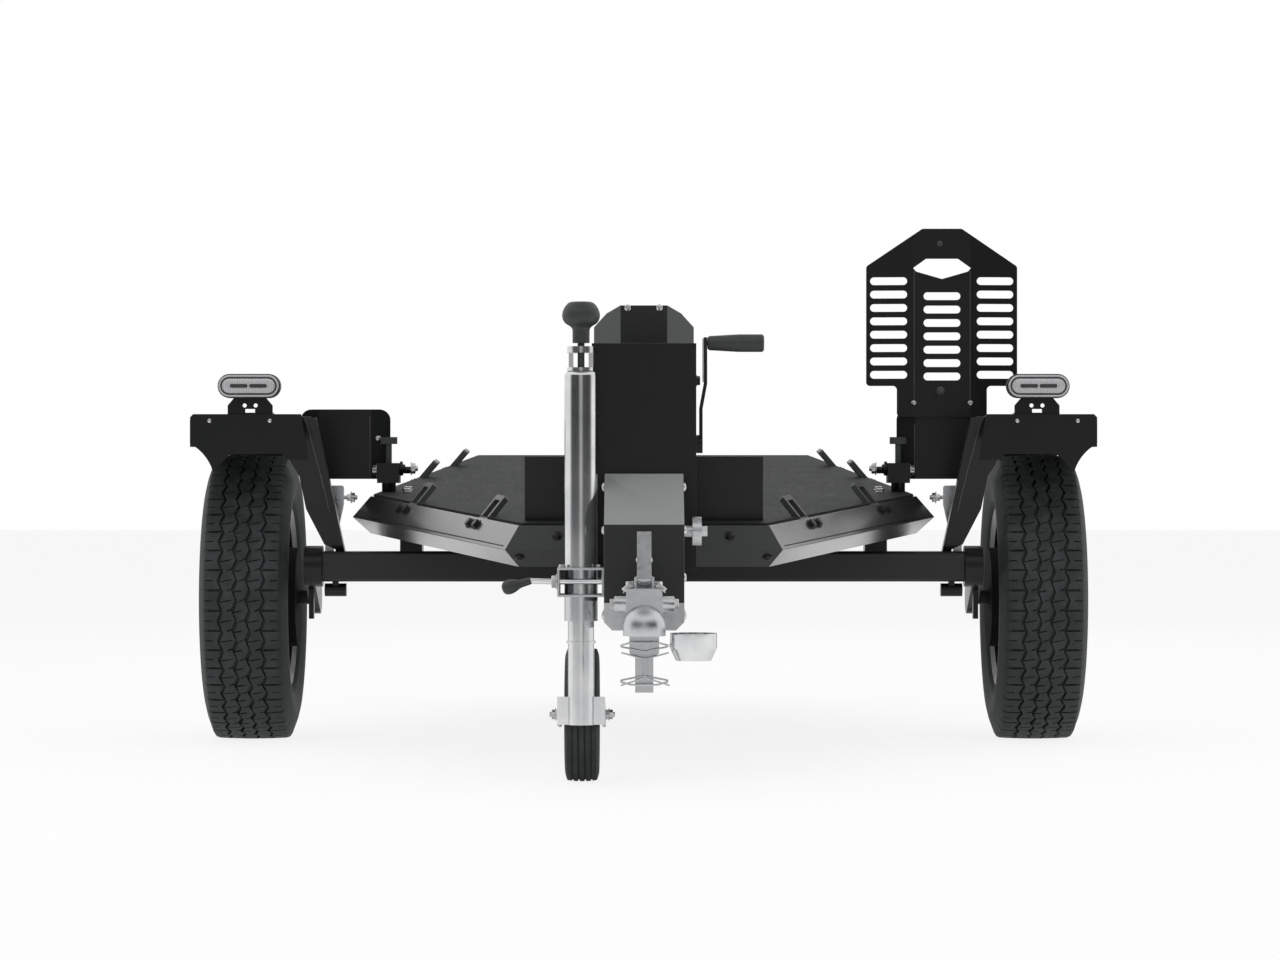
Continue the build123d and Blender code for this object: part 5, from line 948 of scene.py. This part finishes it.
# Clamp lever: a bright rod through the jockey clamp, with a nut where it leaves the strap and a
# black grip that swells to a ball at its end.
rod_ahead = 1.334
rod_height = 0.354
rod_radius = 0.0048
rod_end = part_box("clamp_lever")[1].x
lever_path = [at(rod_end, rod_ahead, rod_height), at(-0.152, rod_ahead, rod_height),
              at(-0.199, rod_ahead, 0.3556)]
lever_rod = rod(rod_radius, lever_path, 16)
new_piece("clamp_lever_rod", lever_rod, bright, "clamp_handle", "bright_plating", "clamp_lever")
grip = turned((24, [(0, 0), (0.46, 0), (0.5, 0.3), (0.52, 1.0), (0.56, 1.5), (0.68, 1.9), (0.86, 2.3),
                    (0.97, 2.75), (1, 3.1), (0.96, 3.45), (0.82, 3.78), (0.55, 4.0), (0.28, 4.08),
                    (0, 4.1)]))
grip_radius = 0.0125
grip_place = (at(-0.193, rod_ahead, 0.3555), Vector((-0.0457, 0, -0.0133)).normalized())
lever_grip = set_on(grip, grip_black, [(grip_place, grip_radius)])
new_piece("clamp_lever_grip", lever_grip, grip_black, "clamp_handle", "black_plastic")
rod_nuts = [((at(-0.1485, rod_ahead, rod_height), Vector((-1, 0, 0))), 0.0105)]
new_piece("clamp_rod_nuts", set_on(bolt_head, bolt_steel, rod_nuts),
          bolt_steel, "clamp_handle", "galvanised")

# Folds and lips: along each bend of the sheet lies a low rounded bead, coated a paler grey as a painted
# highlight where the bend catches the light, and the fenders' inner edges have a rolled lip with the same
# painted highlight.
fold_highlight_coat = powder_coat("painted_fold_highlight_coat", (0.05, 0.052, 0.052), (0.11, 0.115, 0.115), 0.3, 0.3, 1.5)


def seen_on(names, across, down):
    """The nearest of several nodes on a line of sight of the photograph."""
    found = [hit for hit in (sighted(name, across, down) for name in names) if hit[0]]
    return min(found, key=lambda hit: (hit[0] - camera_place).length)


def fold_bead(name, column, rows):
    """A bead along an upright fold, through places of the photograph one above another."""
    hits = [sighted(name, column, row) for row in rows]
    return rod(fold_radius, [place + way * fold_radius * 0.2 for place, way in hits], 8)


fold_radius = 0.0008
lip_radius = 0.0012
lip_lift = 0.0004
mirror = Vector((-1, 1, 1))
ramp_rows = (270.5, 300, 340, 380, 405)
ramp_folds = [fold_bead("ramp_plate", column, ramp_rows) for column in (914.0, 970.0)]
new_piece("ramp_fold_edges", as_one(ramp_folds), fold_highlight_coat, "ramp", "black_paint")
bracket_folds = [
    fold_bead("side_bracket_right", 914.5, (425, 445, 470)),
    fold_bead("side_bracket_left", 370.0, (416, 440, 472)),
]
new_piece("bracket_fold_edges", as_one(bracket_folds), fold_highlight_coat, "trailer", "black_paint")
lip_spots = ((984.5, 416.5), (981.0, 421), (977.5, 432), (973.0, 450), (967.5, 470), (962.5, 490),
             (957.5, 512))
lip_hits = [seen_on(("fender_right", "fender_post_right"), *spot) for spot in lip_spots]
lip = [place + way * lip_lift for place, way in lip_hits]
lips = [rod(lip_radius, lip, 8), rod(lip_radius, [point * mirror for point in lip], 8)]
new_piece("fender_lips", as_one(lips), fold_highlight_coat, "trailer", "black_paint")

# Seam of each front wing: the pressed upper sheet laps the lower one just above the bend, and the
# joint between them shows as a thin dark line along the whole wing.
seam_radius = 0.0011
seam_lift = 0.0002
seam_ends = [sighted("front_wing_left", *spot) for spot in ((361.5, 516.0), (503.0, 545.8))]
seam = [place + way * seam_lift for place, way in seam_ends]
seams = [rod(seam_radius, seam, 8), rod(seam_radius, [point * mirror for point in seam], 8)]
new_piece("wing_seams", as_one(seams), black_coat, "trailer", "black_paint")

# Crank strip: a plated flat spring lies on the inner side of the crank's arm, up to the grip, and
# turns with it.
strip_size = (0.0024, 0.018, 0.076)
beside_arm = Vector((0, -0.94, 0.7365))
strip_depth = Vector((0.001, 0, 0))
strip = bmesh.new()
bmesh.ops.create_cube(strip, size=1)
strip_mesh = bpy.data.meshes.new("crank_strip")
bmesh.ops.scale(strip, vec=strip_size, verts=strip.verts)
arm_side = meet("crank_arm", beside_arm, (1, 0, 0))[0]
bmesh.ops.translate(strip, vec=arm_side - strip_depth, verts=strip.verts)
strip.to_mesh(strip_mesh)
strip.free()
new_piece("crank_strip", strip_mesh, bolt_steel, "winch_crank", "galvanised")

# Rear edge of each fender: a turned-down sheet as wide as the front one, behind the tyre, coated
# black like the fender.
rear_skirts = []
for side, flip in (("right", 1), ("left", -1)):
    low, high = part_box("fender_" + side)
    inner, outer = sorted((low.x, high.x), key=abs)
    top, waist, foot = high.z - 0.003, high.z - 0.05, high.z - 0.094
    near, far = inner + flip * 0.006, outer - flip * 0.006
    outline = [(near, top), (far, top), (far, waist), (outer - flip * 0.014, foot),
               (inner + flip * 0.04, foot), (near, waist)]
    shape = bmesh.new()
    back = [shape.verts.new((x, high.y - 0.002, z)) for x, z in outline]
    ahead = [shape.verts.new((x, high.y - 0.005, z)) for x, z in outline]
    shape.faces.new(back)
    shape.faces.new(ahead[::-1])
    for corner in range(len(outline)):
        after = (corner + 1) % len(outline)
        shape.faces.new((back[corner], back[after], ahead[after], ahead[corner]))
    bmesh.ops.recalc_face_normals(shape, faces=shape.faces)
    mesh = bpy.data.meshes.new("rear_skirt")
    shape.to_mesh(mesh)
    shape.free()
    rear_skirts.append(mesh)
new_piece("fender_rear_skirts", as_one(rear_skirts), black_coat, "trailer", "black_paint")
